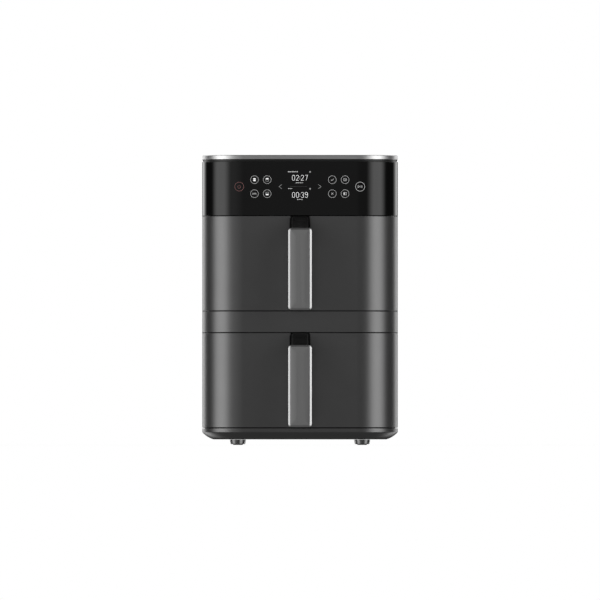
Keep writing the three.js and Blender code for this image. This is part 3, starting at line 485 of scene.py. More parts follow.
def dress(material, *nodes, bevel=0.3):
    """CAD nodes shown as they are, with a material and rounded edges."""
    for node in nodes:
        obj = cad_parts[node]
        obj.data.materials.clear()
        obj.data.materials.append(material)
        weld = obj.modifiers.new("weld", "WELD")
        weld.merge_threshold = 1e-6
        rounding = obj.modifiers.new("rounding", "BEVEL")
        rounding.width = bevel * MM
        rounding.segments = 2
        rounding.limit_method = "ANGLE"
        rounding.angle_limit = math.radians(40)


# ---------------------------------------------------------------- base and feet


def base_tray():
    low, high = box("base_tray")
    lip = 5.4
    steep, flat = math.radians(48), math.radians(17)
    radius = (high.z - lip - low.z) / (math.cos(flat) - math.cos(steep))
    profile = []
    for i in range(13):
        slope = flat + (steep - flat) * i / 12
        profile.append((radius * (math.sin(steep) - math.sin(slope)),
                        low.z + radius * (math.cos(flat) - math.cos(slope))))
    deepest = profile[0][0]
    edge = 0.5
    profile[-1] = (edge * 0.4, high.z - lip - edge * 0.3)
    profile.append((0.0, high.z - lip + edge))
    for a in (0, math.pi / 4, math.pi / 2):
        profile.append((edge - edge * math.cos(a), high.z - edge + edge * math.sin(a)))
    profile += [(SHELL, high.z), (SHELL, high.z - lip + SHELL), (deepest + SHELL, low.z + SHELL)]
    tray = build("base_tray_shell", [stack(profile, body_ring)], GREY_PAINT)
    slots = []
    for i in range(5):
        y = (i - 2) * 12
        hole = rounded(-35, 35, y, y + 5, 2.4)
        slots.append(build("slot", [prism(hole, 0, low.z + 5)], SOFT_BLACK))
    carve(tray, *slots)
    place(tray, "housing", "base_tray")


def foot(corner):
    low, high = box(f"foot_{corner}")
    centre = ((low.x + high.x) / 2, (low.y + high.y) / 2, low.z)
    tall = high.z - low.z
    wide = (high.x - low.x) / 2
    body = [(0, 1.0), (wide - 2.2, 1.0), (wide - 1.3, 1.3), (wide - 0.9, 2.0), (wide - 0.1, tall - 1.0),
            (wide, tall), (0, tall)]
    add(f"foot_body_{corner}", [turned(body, centre, 64)], FOOT_GREY, "housing", f"foot_{corner}")
    pad = [(0, 0), (5.6, 0), (6.3, 0.3), (6.6, 1.1), (0, 1.3)]
    add(f"foot_pad_{corner}", [turned(pad, centre)], RUBBER, "housing")


# ---------------------------------------------------------------- housing, rear cover and top

SEAM_TAKE = 0.35  # the fronts' edges come this much closer to each other than the CAD's


def housing_shell():
    low, high = box("housing_shell")
    section = skin_section(SHELL, low.z - SEAM_TAKE, high.z)
    shell = build("housing_sides", [wall(section, wrap_stations(low.y, 0.5, rear=True))], GREY_PAINT)
    cover_low, cover_high = box("rear_cover")
    gap = 0.3
    hole = rounded(cover_low.x - gap, cover_high.x + gap, cover_low.z - gap, cover_high.z + gap, 4)
    carve(shell, build("hole", [prism(hole, REAR - 20, REAR + 20, "y")], GREY_PAINT))
    place(shell, "housing", "housing_shell")


def louvre_heights():
    """The middle of each louvre slot: seven level with each fan."""
    middles = []
    for level in LEVELS:
        low, high = box(f"fan_wheel_{level}")
        middles += [(low.z + high.z) / 2 + (i - 3) * 10 for i in range(7)]
    return middles


def rear_cover():
    low, high = box("rear_cover")
    outline = rounded(low.x, high.x, low.z, high.z, 3.8)
    holes = [rounded(-53, 53, 73, 347, 5), gland_hole()]
    plate = cut_plate("rear_plate", outline, holes, low.y, REAR, MATTE_BLACK, "y", 0.4)
    place(plate, "housing", "rear_cover")

    def ring(inset, y):
        radius = 7 - inset * 0.6
        return [(x, y, z) for x, z in rounded(-56 + inset, 56 - inset, 70 + inset, 350 - inset, radius)]

    top, foot_r = 2.5, 1.2
    rings = [ring(SHELL, high.y - SHELL), ring(SHELL, REAR - 2), ring(0, REAR - 2), ring(0, REAR + foot_r)]
    for a in (0, 22.5, 45, 67.5, 90):
        turn = math.radians(a)
        rings.append(ring(top * (1 - math.cos(turn)), high.y - top + top * math.sin(turn)))
    hood = build("exhaust_hood", [loft(rings)], MATTE_BLACK)
    slots = []
    for z in louvre_heights():
        hole = rounded(-44, 44, z - 2.5, z + 2.5, 2.4, 6)
        slots.append(prism(hole, high.y - 6, high.y + 4, "y"))
    carve(hood, build("slots", slots, MATTE_BLACK))
    place(hood, "housing")
    for i, z in enumerate(louvre_heights()):
        blade = [(REAR + 0.2, z - 4.6), (REAR + 1.2, z - 4.8), (high.y - 2.6, z + 1.9),
                 (high.y - 2.6, z + 3.1), (high.y - 3.4, z + 3.0)]
        add(f"louvre_blade_{i + 1}", [prism(blade, -48, 48, "x")], MATTE_BLACK, "housing", bevel=0.2)


def gland_hole():
    low, high = box("cord_gland")
    x, z = (low.x + high.x) / 2, (low.z + high.z) / 2
    return arc((x, z), 7.8, 0, 354, 59)


def cord_gland():
    low, high = box("cord_gland")
    centre = ((low.x + high.x) / 2, 0, (low.z + high.z) / 2)
    bore, neck, flange = 4, 7.5, 10.5
    lip = high.y - 2.1
    profile = [(bore, low.y), (neck, low.y), (neck, lip), (flange - 0.4, lip), (flange, lip + 0.4),
               (flange - 0.8, high.y - 0.5), (flange - 1.6, high.y), (bore + 1.6, high.y),
               (bore + 0.5, high.y - 0.4), (bore, high.y - 1.4)]
    rings = []
    for radius, y in [*profile, profile[0]]:
        rings.append([(centre[0] + u, y, centre[2] + v) for u, v in arc((0, 0), radius, 0, 352.5, 47)])
    skins = [loft(rings[:-1], capped=False), loft([rings[-2], rings[-1]], capped=False)]
    gland = build("cord_bush", skins, RUBBER)
    place(gland, "housing", "cord_gland", slot="matte_black")


def screw(name, x, y, z, radius=3.4):
    """A pan-head screw with a cross recess, its head towards the rear."""
    head = [(0, 0), (radius, 0), (radius, 0.5), (radius * 0.8, 1.3), (radius * 0.4, 1.7), (0, 1.8)]
    piece = build(name, [turned(head, (x, y, z), 24, "y")], STEEL)
    arms = ((1.9, 0.4), (0.4, 1.9))
    slots = [slab((x - wide, x + wide), (y + 1.0, y + 3), (z - tall, z + tall)) for wide, tall in arms]
    carve(piece, *(build("slot", [slot], STEEL) for slot in slots))
    place(piece, "housing")


def top_pieces():
    low, high = box("top_frame")
    inset = HALF - high.x
    floor = high.z - 3.2
    groove = [(inset, high.z), (inset, floor), (inset + 11.8, floor), (inset + 11.8, high.z)]
    skirt = [(6.2, high.z - 3), (6.2, low.z), (8.2, low.z), (8.2, high.z - 3)]
    add("shadow_groove", [rim(groove, body_ring), rim(skirt, body_ring)], SOFT_BLACK, "housing",
        "top_frame")

    low, high = box("trim_ring")
    near = HALF - high.x
    far = near + 6
    profile = [
        *arc((near + 0.6, low.z + 0.6), 0.6, 270, 180, 6),
        *arc((near + 1.2, high.z - 1.2), 1.2, 180, 90, 8),
        *arc((far - 0.5, high.z - 0.5), 0.5, 90, 0, 4),
        (far, low.z),
    ]
    add("top_trim_ring", [rim(profile, body_ring)], CHROME, "housing", "trim_ring")

    low, high = box("top_cover")
    near = HALF - high.x
    edge = 0.8
    cover = [(near + edge, low.z), (near, low.z + edge)]
    cover += [(near + edge * (1 - math.cos(a)), high.z - 0.5 - edge + edge * math.sin(a))
              for a in (0, math.pi / 8, math.pi / 4, math.pi * 3 / 8, math.pi / 2)]
    cover += [(near + 8, high.z - 0.25), (near + 18, high.z - 0.08), (near + 30, high.z)]
    add("top_lid", [stack(cover, body_ring)], MATTE_BLACK, "housing", "top_cover")


# ---------------------------------------------------------------- control panel

PANEL_LOW, PANEL_HIGH = box("control_panel")
GLASS_LIFT = 0.06


def control_panel():
    section = skin_section(SKIN, PANEL_LOW.z - SEAM_TAKE, PANEL_HIGH.z, outer=0.5)
    stations = wrap_stations(PANEL_HIGH.y, 0.4)
    add("panel_glass", [wall(section, stations)], GLOSS_BLACK, "housing", "control_panel")


def on_panel(x, z):
    """A point just in front of the panel's face, straight ahead of (x, z)."""
    over = max(0.0, abs(x) - (HALF - CORNER))
    turn = math.asin(over / CORNER)
    reach = CORNER + GLASS_LIFT
    if not over:
        return x, FRONT - GLASS_LIFT, z
    return math.copysign(HALF - CORNER + reach * math.sin(turn),
                         x), FRONT + CORNER - reach * math.cos(turn), z


def mark(name, shapes, material):
    """A thin printed mark on the panel, from flat shapes of (x, z) in millimetres."""
    mesh = bpy.data.meshes.new(name)
    bm = bmesh.new()
    for shape in shapes:
        corners = [bm.verts.new(Vector(on_panel(x, z)) * MM) for x, z in shape]
        bm.faces.new(corners)
    bmesh.ops.recalc_face_normals(bm, faces=bm.faces)
    for face in bm.faces:
        if face.normal.y > 0:
            face.normal_flip()
    bm.to_mesh(mesh)
    bm.free()
    obj = smooth_object(name, mesh, material)
    thick = obj.modifiers.new("thickness", "SOLIDIFY")
    thick.thickness = 0.04 * MM
    thick.offset = -1
    bake(obj)
    place(obj, "housing")


def stroke(points, width, closed=False):
    """A line of even width as quads."""
    count = len(points)
    sides = []
    for i, (x, z) in enumerate(points):
        before = points[i - 1] if closed or i else points[i]
        after = points[(i + 1) % count] if closed or i + 1 < count else points[i]
        u1 = Vector((x - before[0], z - before[1]))
        u2 = Vector((after[0] - x, after[1] - z))
        u1 = (u1 if u1.length > 1e-9 else u2).normalized()
        u2 = (u2 if u2.length > 1e-9 else u1).normalized()
        along = (u1 + u2).normalized()
        out = Vector((-along.y, along.x)) * (width / 2) / max(0.5, along.dot(u1))
        sides.append(((x + out.x, z + out.y), (x - out.x, z - out.y)))
    last = count if closed else count - 1
    return [[sides[i][0], sides[(i + 1) % count][0], sides[(i + 1) % count][1],
             sides[i][1]] for i in range(last)]


def ring_of(x, z, radius, start=0, end=360, steps=48):
    """Points round a circle, all the way or part of it."""
    if end - start == 360:
        return arc((x, z), radius, start, end - 360 / steps, steps - 1)
    return arc((x, z), radius, start, end, steps)


def block_of(x, z, wide, tall, radius=0.35):
    return rounded(x - wide / 2, x + wide / 2, z - tall / 2, z + tall / 2,
                   min(radius, wide / 2.01, tall / 2.01), 4)


DIGIT = (3.9, 7.7)  # a numeral's width and height
DIGIT_STROKE = 0.5


def numeral(value, x, z):
    """The centre lines of a plain numeral, its lower left corner at (x, z)."""
    half = DIGIT_STROKE / 2
    left, right, low, high = x + half, x + DIGIT[0] - half, z + half, z + DIGIT[1] - half
    middle, waist = (left + right) / 2, (low + high) / 2
    bend = (right - left) / 2
    top, bottom = (middle, high - bend), (middle, low + bend)
    if value == "0":
        return [arc(top, bend, 0, 180, 12) + arc(bottom, bend, 180, 360, 12) + [(right, high - bend)]]
    if value == "2":
        return [arc(top, bend, 170, -35, 14) + [(left, low), (right, low)]]
    if value == "3":
        upper = arc((middle, (high + waist) / 2), (high - waist) / 2, 150, -90, 12)
        lower = arc((middle, (low + waist) / 2), (waist - low) / 2, 90, -150, 12)
        return [[(min(right, u), v) for u, v in upper + lower[1:]]]
    if value == "7":
        return [[(left, high), (right, high), (middle - 0.4, low)]]
    return [arc(top, bend, 0, 345, 23) + [(right, high - bend)],
            [(right, high - bend)] + arc(bottom, bend, 0, -160, 12)]


def clock(name, text, z):
    """A time such as 02:27 in the middle of the panel, its foot at z."""
    shapes = []
    for value, left in zip(text.replace(":", ""), (-11.0, -5.5, 1.4, 6.9)):
        for line in numeral(value, left, z):
            shapes += stroke(line, DIGIT_STROKE)
    for share in (0.28, 0.66):
        shapes.append(ring_of(-0.1, z + DIGIT[1] * share, 0.4, steps=12))
    mark(name, shapes, MARK_BRIGHT)


def dashes(start, end, z, tall):
    """A row of short dashes, where small print would stand."""
    shapes, x, i = [], start, 0
    while x < end - 0.5:
        wide = min((1.5, 0.9, 1.2, 0.8)[i % 4], end - x)
        shapes.append(block_of(x + wide / 2, z, wide, tall * (1.0, 0.75)[i % 2], 0.2))
        x += wide + 0.42
        i += 1
    return shapes


KEYS_X = (-63.7, -45.9, 45.2, 63.0)  # touch keys stand in two rows
KEYS_Z = (370.9, 351.3)
KEY_RADIUS, KEY_LINE = 5.5, 0.36
SIGN_SIZE = 0.8


def put(x, z, shapes):
    """A key's sign, drawn round the origin, moved to (x, z)."""
    return [[(x + u * SIGN_SIZE, z + v * SIGN_SIZE) for u, v in shape] for shape in shapes]


def panel_marks():
    upper, lower = KEYS_Z
    jar_x, bowl_x, check_x, loop_x = KEYS_X
    rings = [ring_of(x, z, KEY_RADIUS) for x in KEYS_X for z in KEYS_Z]
    mark("key_rings", [quad for ring in rings for quad in stroke(ring, KEY_LINE, closed=True)], MARK_MID)
    start_x, power_x, middle_z = 84.1, -85.0, 361.2
    mark("start_ring", stroke(ring_of(start_x, middle_z, 6.4), 0.45, closed=True), MARK_MID)
    power = stroke(ring_of(power_x, middle_z, 6.2), 0.5, closed=True)
    power += stroke(ring_of(power_x, middle_z - 0.2, 2.1, 130, 410, 28), 0.5)
    mark("power_key", power + [block_of(power_x, middle_z + 1.6, 0.5, 2.2)], MARK_RED)

    jar = [block_of(0, 1.5, 4.2, 2.2, 0.8), block_of(0, -1.4, 4.2, 2.4, 0.8)]
    lid, fill = [block_of(0, 1.5, 4.4, 2.0, 0.8)], [block_of(0, -1.4, 4.4, 2.0, 0.8)]
    mark("key_fills", put(jar_x, upper, jar) + put(bowl_x, upper, lid) + put(bowl_x, lower, fill),
         MARK_BRIGHT)

    bowl = stroke(block_of(0, 0, 4.8, 5.4, 1.2), 0.4, closed=True)
    wave = stroke([(-3.5 + 7 * i / 6, 1.3 if i % 2 else -1.3) for i in range(7)], 0.55)
    check = stroke([(-2.2, 0), (-0.6, -1.7), (2.4, 1.7)], 0.6)
    cross = [quad for sign in (-1, 1) for quad in stroke([(-1.7, -1.7 * sign), (1.7, 1.7 * sign)], 0.6)]
    loop = stroke(block_of(0, 0, 5.4, 4.2, 1.0), 0.45, closed=True)
    loop += stroke(block_of(0.5, -0.1, 2.2, 1.9, 0.5), 0.4, closed=True)
    door = stroke(block_of(0, 0, 5.2, 4.2, 0.6), 0.45, closed=True) + [block_of(-1.2, 0, 2.6, 3.6, 0.3)]
    start = stroke([(-3.8, -2.0), (-3.8, 2.0), (-0.5, 0)], 0.5, closed=True)
    start += [block_of(u, 0, 0.6, 4.0, 0.2) for u in (1.5, 3.3)]
    fine = put(bowl_x, upper, bowl) + put(bowl_x, lower, bowl) + put(jar_x, lower, wave)
    fine += put(check_x, upper, check) + put(check_x, lower, cross)
    fine += put(loop_x, upper, loop) + put(loop_x, lower, door) + put(start_x, middle_z, start)
    mark("key_signs", fine, MARK_MID)

    arrows = []
    for x, point in ((-25.4, -4.0), (25.6, 4.0)):
        arrows += stroke([(x, middle_z - 2.9), (x + point, middle_z), (x, middle_z + 2.9)], 0.5)
    mark("arrows", arrows, MARK_DIM)
    clock("upper_time", "02:27", 369.7)
    clock("lower_time", "00:39", 345.7)
    small = dashes(-16.8, -2.9, 382.0, 1.3) + dashes(-16.5, -11.0, 358.4, 1.1)
    small += dashes(-5.9, 4.1, 366.6, 1.0) + dashes(-4.1, 4.1, 343.3, 1.0)
    mark("display_dashes", small, MARK_MID)
    mark("display_line", [block_of(-2.2, 361.4, 24.4, 0.3)], MARK_FAINT)
    mark("display_dots", [ring_of(14.1, z, 1.2, steps=20) for z in (381.8, 358.2)], MARK_DIM)


# ---------------------------------------------------------------- drawers


def drawer_front(level):
    low, high = box(f"drawer_front_{level}")
    section = skin_section(SKIN, low.z - SEAM_TAKE, high.z + SEAM_TAKE)
    front = build(f"front_{level}", [wall(section, wrap_stations(high.y, 0.5))], GREY_PAINT)
    half, roll = box(f"handle_neck_{level}")[1].x + 1.4, 2.4
    bottom, top = low.z + 108, high.z + 5
    widths = [(FRONT - 5, half + roll)]
    widths += [(FRONT + roll - u, half + roll - v) for u, v in arc((0, 0), roll, 0, 90, 8)]
    widths.append((FRONT + 10, half))
    rings = []
    for y, wide in widths:
        corners = ((-wide, bottom), (wide, bottom), (wide, top), (-wide, top))
        rings.append([(x, y, z) for x, z in corners])
    carve(front, build("notch", [loft(rings)], MATTE_BLACK))
    place(front, f"drawer_{level}", f"drawer_front_{level}")


def pan_outline(level):
    """The pan's plan outline at its wall, as a function of inset."""
    low, high = box(f"pan_{level}")
    over = 4.6

    def outline(inset):
        x, y0, y1 = high.x - over - inset, low.y + over + inset, high.y - over - inset
        return rounded(-x, x, y0, y1, 28 - inset, 14)

    return outline


def drawer_liner(level):
    low, high = box(f"drawer_liner_{level}")
    near = HALF - high.x
    liner = build(f"liner_{level}", [front_block(low.z, high.z, high.y, near)], MATTE_BLACK)
    bottom = box(f"pan_{level}")[0].z - 0.6
    clear = -(4.6 + 0.6)
    pocket = [(x, y, z) for z in (bottom, high.z + 5) for x, y in pan_outline(level)(clear)]
    half = len(pocket) // 2
    carve(liner, build("pocket", [loft([pocket[:half], pocket[half:]])], MATTE_BLACK))
    place(liner, f"drawer_{level}", f"drawer_liner_{level}")


def pan(level):
    low, high = box(f"pan_{level}")
    outline = pan_outline(level)
    thick, draft, fillet, over = 1.6, 4.5, 8, 4.6
    rim_low = high.z - 1.5
    profile = []
    for i in range(9):
        turn = math.pi / 2 * i / 8
        profile.append((draft + fillet * (1 - math.sin(turn)), low.z + fillet * (1 - math.cos(turn))))
    share = (rim_low - low.z - fillet) / (high.z - low.z - fillet)
    profile.append((draft * (1 - share), rim_low))
    profile += arc((-over + 0.75, rim_low + 0.75), 0.75, 270, 90, 4)
    profile += [(thick - 1.8, high.z), (thick - 0.6, high.z - 0.4), (thick, high.z - 1.5)]
    inner = fillet - thick
    for i in range(9):
        turn = math.pi / 2 * (8 - i) / 8
        profile.append((draft + thick + inner * (1 - math.sin(turn)),
                        low.z + thick + inner * (1 - math.cos(turn))))
    piece = build(f"basket_{level}", [stack(profile, outline)], NON_STICK)
    place(piece, f"drawer_{level}", f"pan_{level}")


def crisper_plate(level):
    low, high = box(f"crisper_plate_{level}")
    middle_y = (low.y + high.y) / 2
    thick = 2
    slots = []
    for column in (-1, 0, 1):
        for row in range(8):
            x, y = column * 56, middle_y + (row - 3.5) * 26
            over_leg = column and row in (0, 7)
            if over_leg or math.hypot(x, y - middle_y) < 25:
                continue
            slots.append(rounded(x - 20, x + 20, y - 4, y + 4, 3.9, 6))
    slots.append(arc((0, middle_y), 13, 0, 352.5, 47))
    plate = cut_plate(f"grid_{level}", rounded(low.x, high.x, low.y, high.y, 20, 12), slots,
                      high.z - thick, high.z, NON_STICK, "z", 0.5)
    place(plate, f"plate_{level}", f"crisper_plate_{level}")
    leg_x, leg_y = high.x - 24, (high.y - low.y) / 2 - 24
    for i, (u, v) in enumerate(((-1, -1), (1, -1), (-1, 1), (1, 1))):
        leg = [(0, 0), (3.6, 0), (4.7, 0.8), (5, 2), (5, high.z - low.z - thick),
               (0, high.z - low.z - thick)]
        spot = (u * leg_x, middle_y + v * leg_y, low.z)
        add(f"grid_foot_{level}_{i + 1}", [turned(leg, spot, 28)], SILICONE, f"plate_{level}")


def handle(level):
    low, high = box(f"handle_cover_{level}")
    back, front_y = high.y, low.y
    corner = 4.8

    def ring(inset, y, shrink=1.0):
        radius = max(corner - inset * shrink, 0.6)
        return [(x, y, z) for x, z in rounded(low.x + inset, high.x - inset, low.z + inset,
                                              high.z - inset, radius, 10)]

    side, flat = 2.7, 1.66
    crown = 0.6
    rings = [ring(3.2, front_y + 2.6), ring(2.35, front_y + 3.2), ring(2.35, back), ring(0.25, back),
             ring(0, back - 0.25), ring(0, front_y + flat + 0.25), ring(0.14, front_y + flat),
             ring(side - 0.2, front_y + crown + 0.12), ring(side + 0.15, front_y + crown),
             ring(side + 2.5, front_y + 0.33), ring(side + 5.5, front_y + 0.1), ring(side + 9, front_y)]
    cap = build(f"handle_cap_{level}", [loft(rings)], HANDLE_GREY, angle=40)
    place(cap, f"drawer_{level}", f"handle_cover_{level}")

    half = box(f"handle_neck_{level}")[1].x
    drawer_low, drawer_high = box(f"drawer_front_{level}")
    top = drawer_high.z
    reach = lambda forward: FRONT - forward
    height = lambda up: drawer_low.z + up

    def curve(a, b, c, steps=8):
        points = []
        for i in range(1, steps + 1):
            t = i / steps
            points.append(tuple((1 - t) ** 2 * p + 2 * t * (1 - t) * q + t * t * r
                                for p, q, r in zip(a, b, c)))
        return points

    side_line = [(reach(-3), top), (reach(4), top)]
    side_line += curve(side_line[-1], (reach(12), top - 1), (reach(20), top - 7))
    side_line += [(reach(42), high.z + 1), (reach(43.4), high.z - 4), (reach(43.4), low.z + 3),
                  (reach(26), low.z + 3), (reach(26), height(92))]
    side_line += curve((reach(26), height(92)), (reach(26), height(104)), (reach(12), height(107)))
    side_line += [(reach(-3), height(108.6))]
    neck = build(f"handle_arm_{level}", [prism(side_line, -half, half, "x")], SOFT_BLACK)
    rounding = neck.modifiers.new("rounding", "BEVEL")
    rounding.width = 2.6 * MM
    rounding.segments = 6
    rounding.limit_method = "ANGLE"
    rounding.angle_limit = math.radians(50)
    rounding.use_clamp_overlap = False
    neck.modifiers.move(1, 0)
    place(neck, f"drawer_{level}", f"handle_neck_{level}")


# ---------------------------------------------------------------- band, frame and chambers


def middle_band():
    low, high = box("middle_band")
    band = build("band", [front_block(low.z - SEAM_TAKE, high.z + SEAM_TAKE, high.y, edge=0.8)], GREY_PAINT)
    place(band, "housing", "middle_band")


def chamber_span(level):
    """Left, right, lower and upper inner face of a chamber."""
    low, high = box(f"chamber_{level}")
    return low.x + SHEET, high.x - SHEET, low.z + SHEET, high.z - SHEET


def front_frame():
    low, high = box("front_frame")
    holes = [rounded(*chamber_span(level), 8.8, 10) for level in LEVELS]
    holes.append(rounded(-110, 110, PANEL_LOW.z + 8, PANEL_HIGH.z - 16, 3))
    for level in LEVELS:
        plunger_low, plunger_high = box(f"switch_plunger_{level}")
        gap = 1
        holes.append(rounded(plunger_low.x - gap, plunger_high.x + gap, plunger_low.z - gap,
                             plunger_high.z + gap, 0.8, 4))
    plate = cut_plate("frame_plate", rounded(low.x, high.x, low.z, high.z, 1, 3), holes, low.y, high.y,
                      MATTE_BLACK, "y", 0.4)
    place(plate, "housing", "front_frame")


def fan_axis(level):
    low, high = box(f"fan_wheel_{level}")
    return (low.z + high.z) / 2


def chamber(level):
    low, high = box(f"chamber_{level}")

    def ring(inset, y):
        return [(x, y, z) for x, z in rounded(low.x + inset, high.x - inset, low.z + inset,
                                              high.z - inset, 10 - inset, 8)]

    rings = [ring(0, high.y - SHEET), ring(0, low.y), ring(SHEET, low.y), ring(SHEET, high.y - SHEET)]
    skins = [loft(rings, capped=False), loft([rings[-1], rings[0]], capped=False)]
    walls = build(f"oven_walls_{level}", skins, ALUMINISED)
    place(walls, "housing", f"chamber_{level}")
    z = fan_axis(level)
    sensor_low, sensor_high = box(f"temperature_sensor_{level}")
    spot = ((sensor_low.x + sensor_high.x) / 2, (sensor_low.z + sensor_high.z) / 2)
    outline = rounded(low.x, high.x, low.z, high.z, 10, 8)
    holes = [arc((0, z), 47, 0, 354, 59), arc(spot, 3, 0, 345, 23)]
    back = cut_plate(f"oven_back_{level}", outline, holes, high.y - SHEET, high.y, ALUMINISED, "y", 0.1)
    place(back, "housing")


def rail(side, level):
    node = f"rail_{side}_{level}"
    low, high = box(node)
    sign = -1 if side == "left" else 1
    inner, outer = (high.x, low.x) if sign < 0 else (low.x, high.x)
    web = outer - sign * 1.4
    pan_top = box(f"pan_{level}")[1].z
    groove_low, groove_high = pan_top - 2, pan_top + 0.6
    section = [(inner, low.z), (outer, low.z), (outer, high.z), (inner, high.z), (inner, groove_high),
               (web, groove_high), (web, groove_low), (inner, groove_low)]
    points = [[(x, y, z) for x, z in section] for y in (low.y, high.y)]
    add(f"runner_{side}_{level}", [loft(points)], STEEL, "housing", node, bevel=0.25)


def fan_guard(level):
    low, high = box(f"fan_guard_{level}")
    z = fan_axis(level)
    slots = []
    for i in range(24):
        turn = math.radians(i * 15)
        near, far, wide = (18 if i % 2 == 0 else 27), 43, 1.9
        line = [(near, -wide * 0.7), *arc((far, 0), wide, -60, 60, 6), (near, wide * 0.7),
                *arc((near, 0), wide * 0.7, 120, 240, 5)[1:-1]]
        slots.append([(u * math.cos(turn) - v * math.sin(turn),
                       z + u * math.sin(turn) + v * math.cos(turn)) for u, v in line])
    slots += [arc((9 * math.cos(math.radians(a)), z + 9 * math.sin(math.radians(a))), 2.2, 0, 345,
                  23) for a in range(0, 360, 60)]
    guard = cut_plate(f"guard_{level}", arc((0, z), high.x, 0, 356.25, 95), slots, low.y, high.y, STEEL,
                      "y", 0.35)
    place(guard, "housing", f"fan_guard_{level}")


# ---------------------------------------------------------------- fans, heaters and boards


def spun(profile, x, z, steps=64):
    """A closed profile of (radius, y) carried right round an axis along Y."""
    points, faces = rim(profile, lambda radius: arc((x, z), radius, 0, 360 - 360 / steps, steps - 1))
    return [(u, y, v) for u, v, y in points], faces


def fan_box(level):
    low, high = box(f"fan_box_{level}")
    z = fan_axis(level)
    sheet, bend, hole = 1.2, 4, 5
    flange, bowl, front, back = high.x, high.x - 4, low.y, low.y + 42
    profile = [(flange, front), (flange, front + sheet), (bowl, front + sheet)]
    profile += arc((bowl - bend, back - bend), bend, 0, 90, 6)
    profile += [(hole, back), (hole, back - sheet)]
    profile += arc((bowl - bend, back - bend), bend - sheet, 90, 0, 6)
    profile += [(bowl - sheet, front)]
    piece = build(f"fan_bowl_{level}", [spun(profile, 0, z)], ALUMINISED)
    holes = [prism(arc((x, z - 44), 4.2, 0, 345, 23), back - 3, back + 2, "y") for x in (-16, 16)]
    carve(piece, build("holes", holes, ALUMINISED))
    place(piece, "housing", f"fan_box_{level}")
    tall = high.y - back
    post = [(0, -0.6), (3, -0.6), (3, tall - 0.5), (2.5, tall), (0, tall)]
    spots = arc((0, z), 38, 90, 330, 2)
    posts = [turned(post, (x, back, v), 24, "y") for x, v in spots]
    add(f"motor_posts_{level}", posts, STEEL, "housing")


def heating_element(level):
    """A tube bent into a ring round the fan wheel, its two legs running back through the bowl."""
    rear = box(f"heating_element_{level}")[1].y
    z, front = fan_axis(level), box(f"fan_box_{level}")[0].y
    leg_x, leg_z, radius, steps = 16, -44, 3.2, 48
    ring_y, bend_y = front + 14, front + 30
    lead = math.atan2(leg_z, -leg_x)
    sweep = 2 * math.pi - 2 * math.atan2(leg_x, -leg_z)
    line = [(-leg_x, rear, z + leg_z), (-leg_x, bend_y + 6, z + leg_z)]
    for i in range(steps + 1):
        turn = lead - sweep * i / steps
        rise = max(0.0, 1 - min(i, steps - i) / 4) ** 2
        reach = 45 + 1.8 * rise
        line.append((reach * math.cos(turn), ring_y + (bend_y - ring_y) * rise, z + reach * math.sin(turn)))
    line += [(leg_x, bend_y + 6, z + leg_z), (leg_x, rear, z + leg_z)]
    piece = tube(f"heater_tube_{level}", line, radius, HEATER)
    place(piece, "housing", f"heating_element_{level}")


def vane(spin, near, far, sweep, thick, z, y0, y1, steps=8):
    """A curved blade standing on a wheel's plate."""
    line = []
    for i in range(steps + 1):
        turn, reach = math.radians(spin + sweep * i / steps), near + (far - near) * i / steps
        line.append(Vector((reach * math.cos(turn), z + reach * math.sin(turn))))
    left, right = [], []
    for i, point in enumerate(line):
        along = (line[min(i + 1, steps)] - line[max(i - 1, 0)]).normalized()
        out = Vector((-along.y, along.x)) * thick / 2
        left.append(tuple(point + out))
        right.append(tuple(point - out))
    return prism(left + right[::-1], y0, y1, "y")


def bladed_wheel(node, name, level, blades, sweep, material):
    """A back plate with a hub and curved blades that stand forward of it."""
    low, high = box(node)
    z, far, hub, bore = fan_axis(level), high.x, 8, 3.15
    plate = high.y - 1.5
    profile = [(bore, low.y), (hub - 0.8, low.y), (hub, low.y + 0.8), (hub, plate - 1.2),
               (hub + 0.5, plate - 0.4), (hub + 1.5, plate), (far - 0.5, plate), (far, plate + 0.4),
               (far, high.y - 0.4), (far - 0.5, high.y), (bore, high.y)]
    add(f"{name}_plate_{level}", [spun(profile, 0, z)], material, f"fan_{level}", node)
    vanes = []
    for i in range(blades):
        vanes.append(vane(360 * i / blades, hub - 0.4, far - 1, sweep, 1.3, z, low.y + 1, plate + 0.3))
    add(f"{name}_blades_{level}", vanes, material, f"fan_{level}", bevel=0.25)


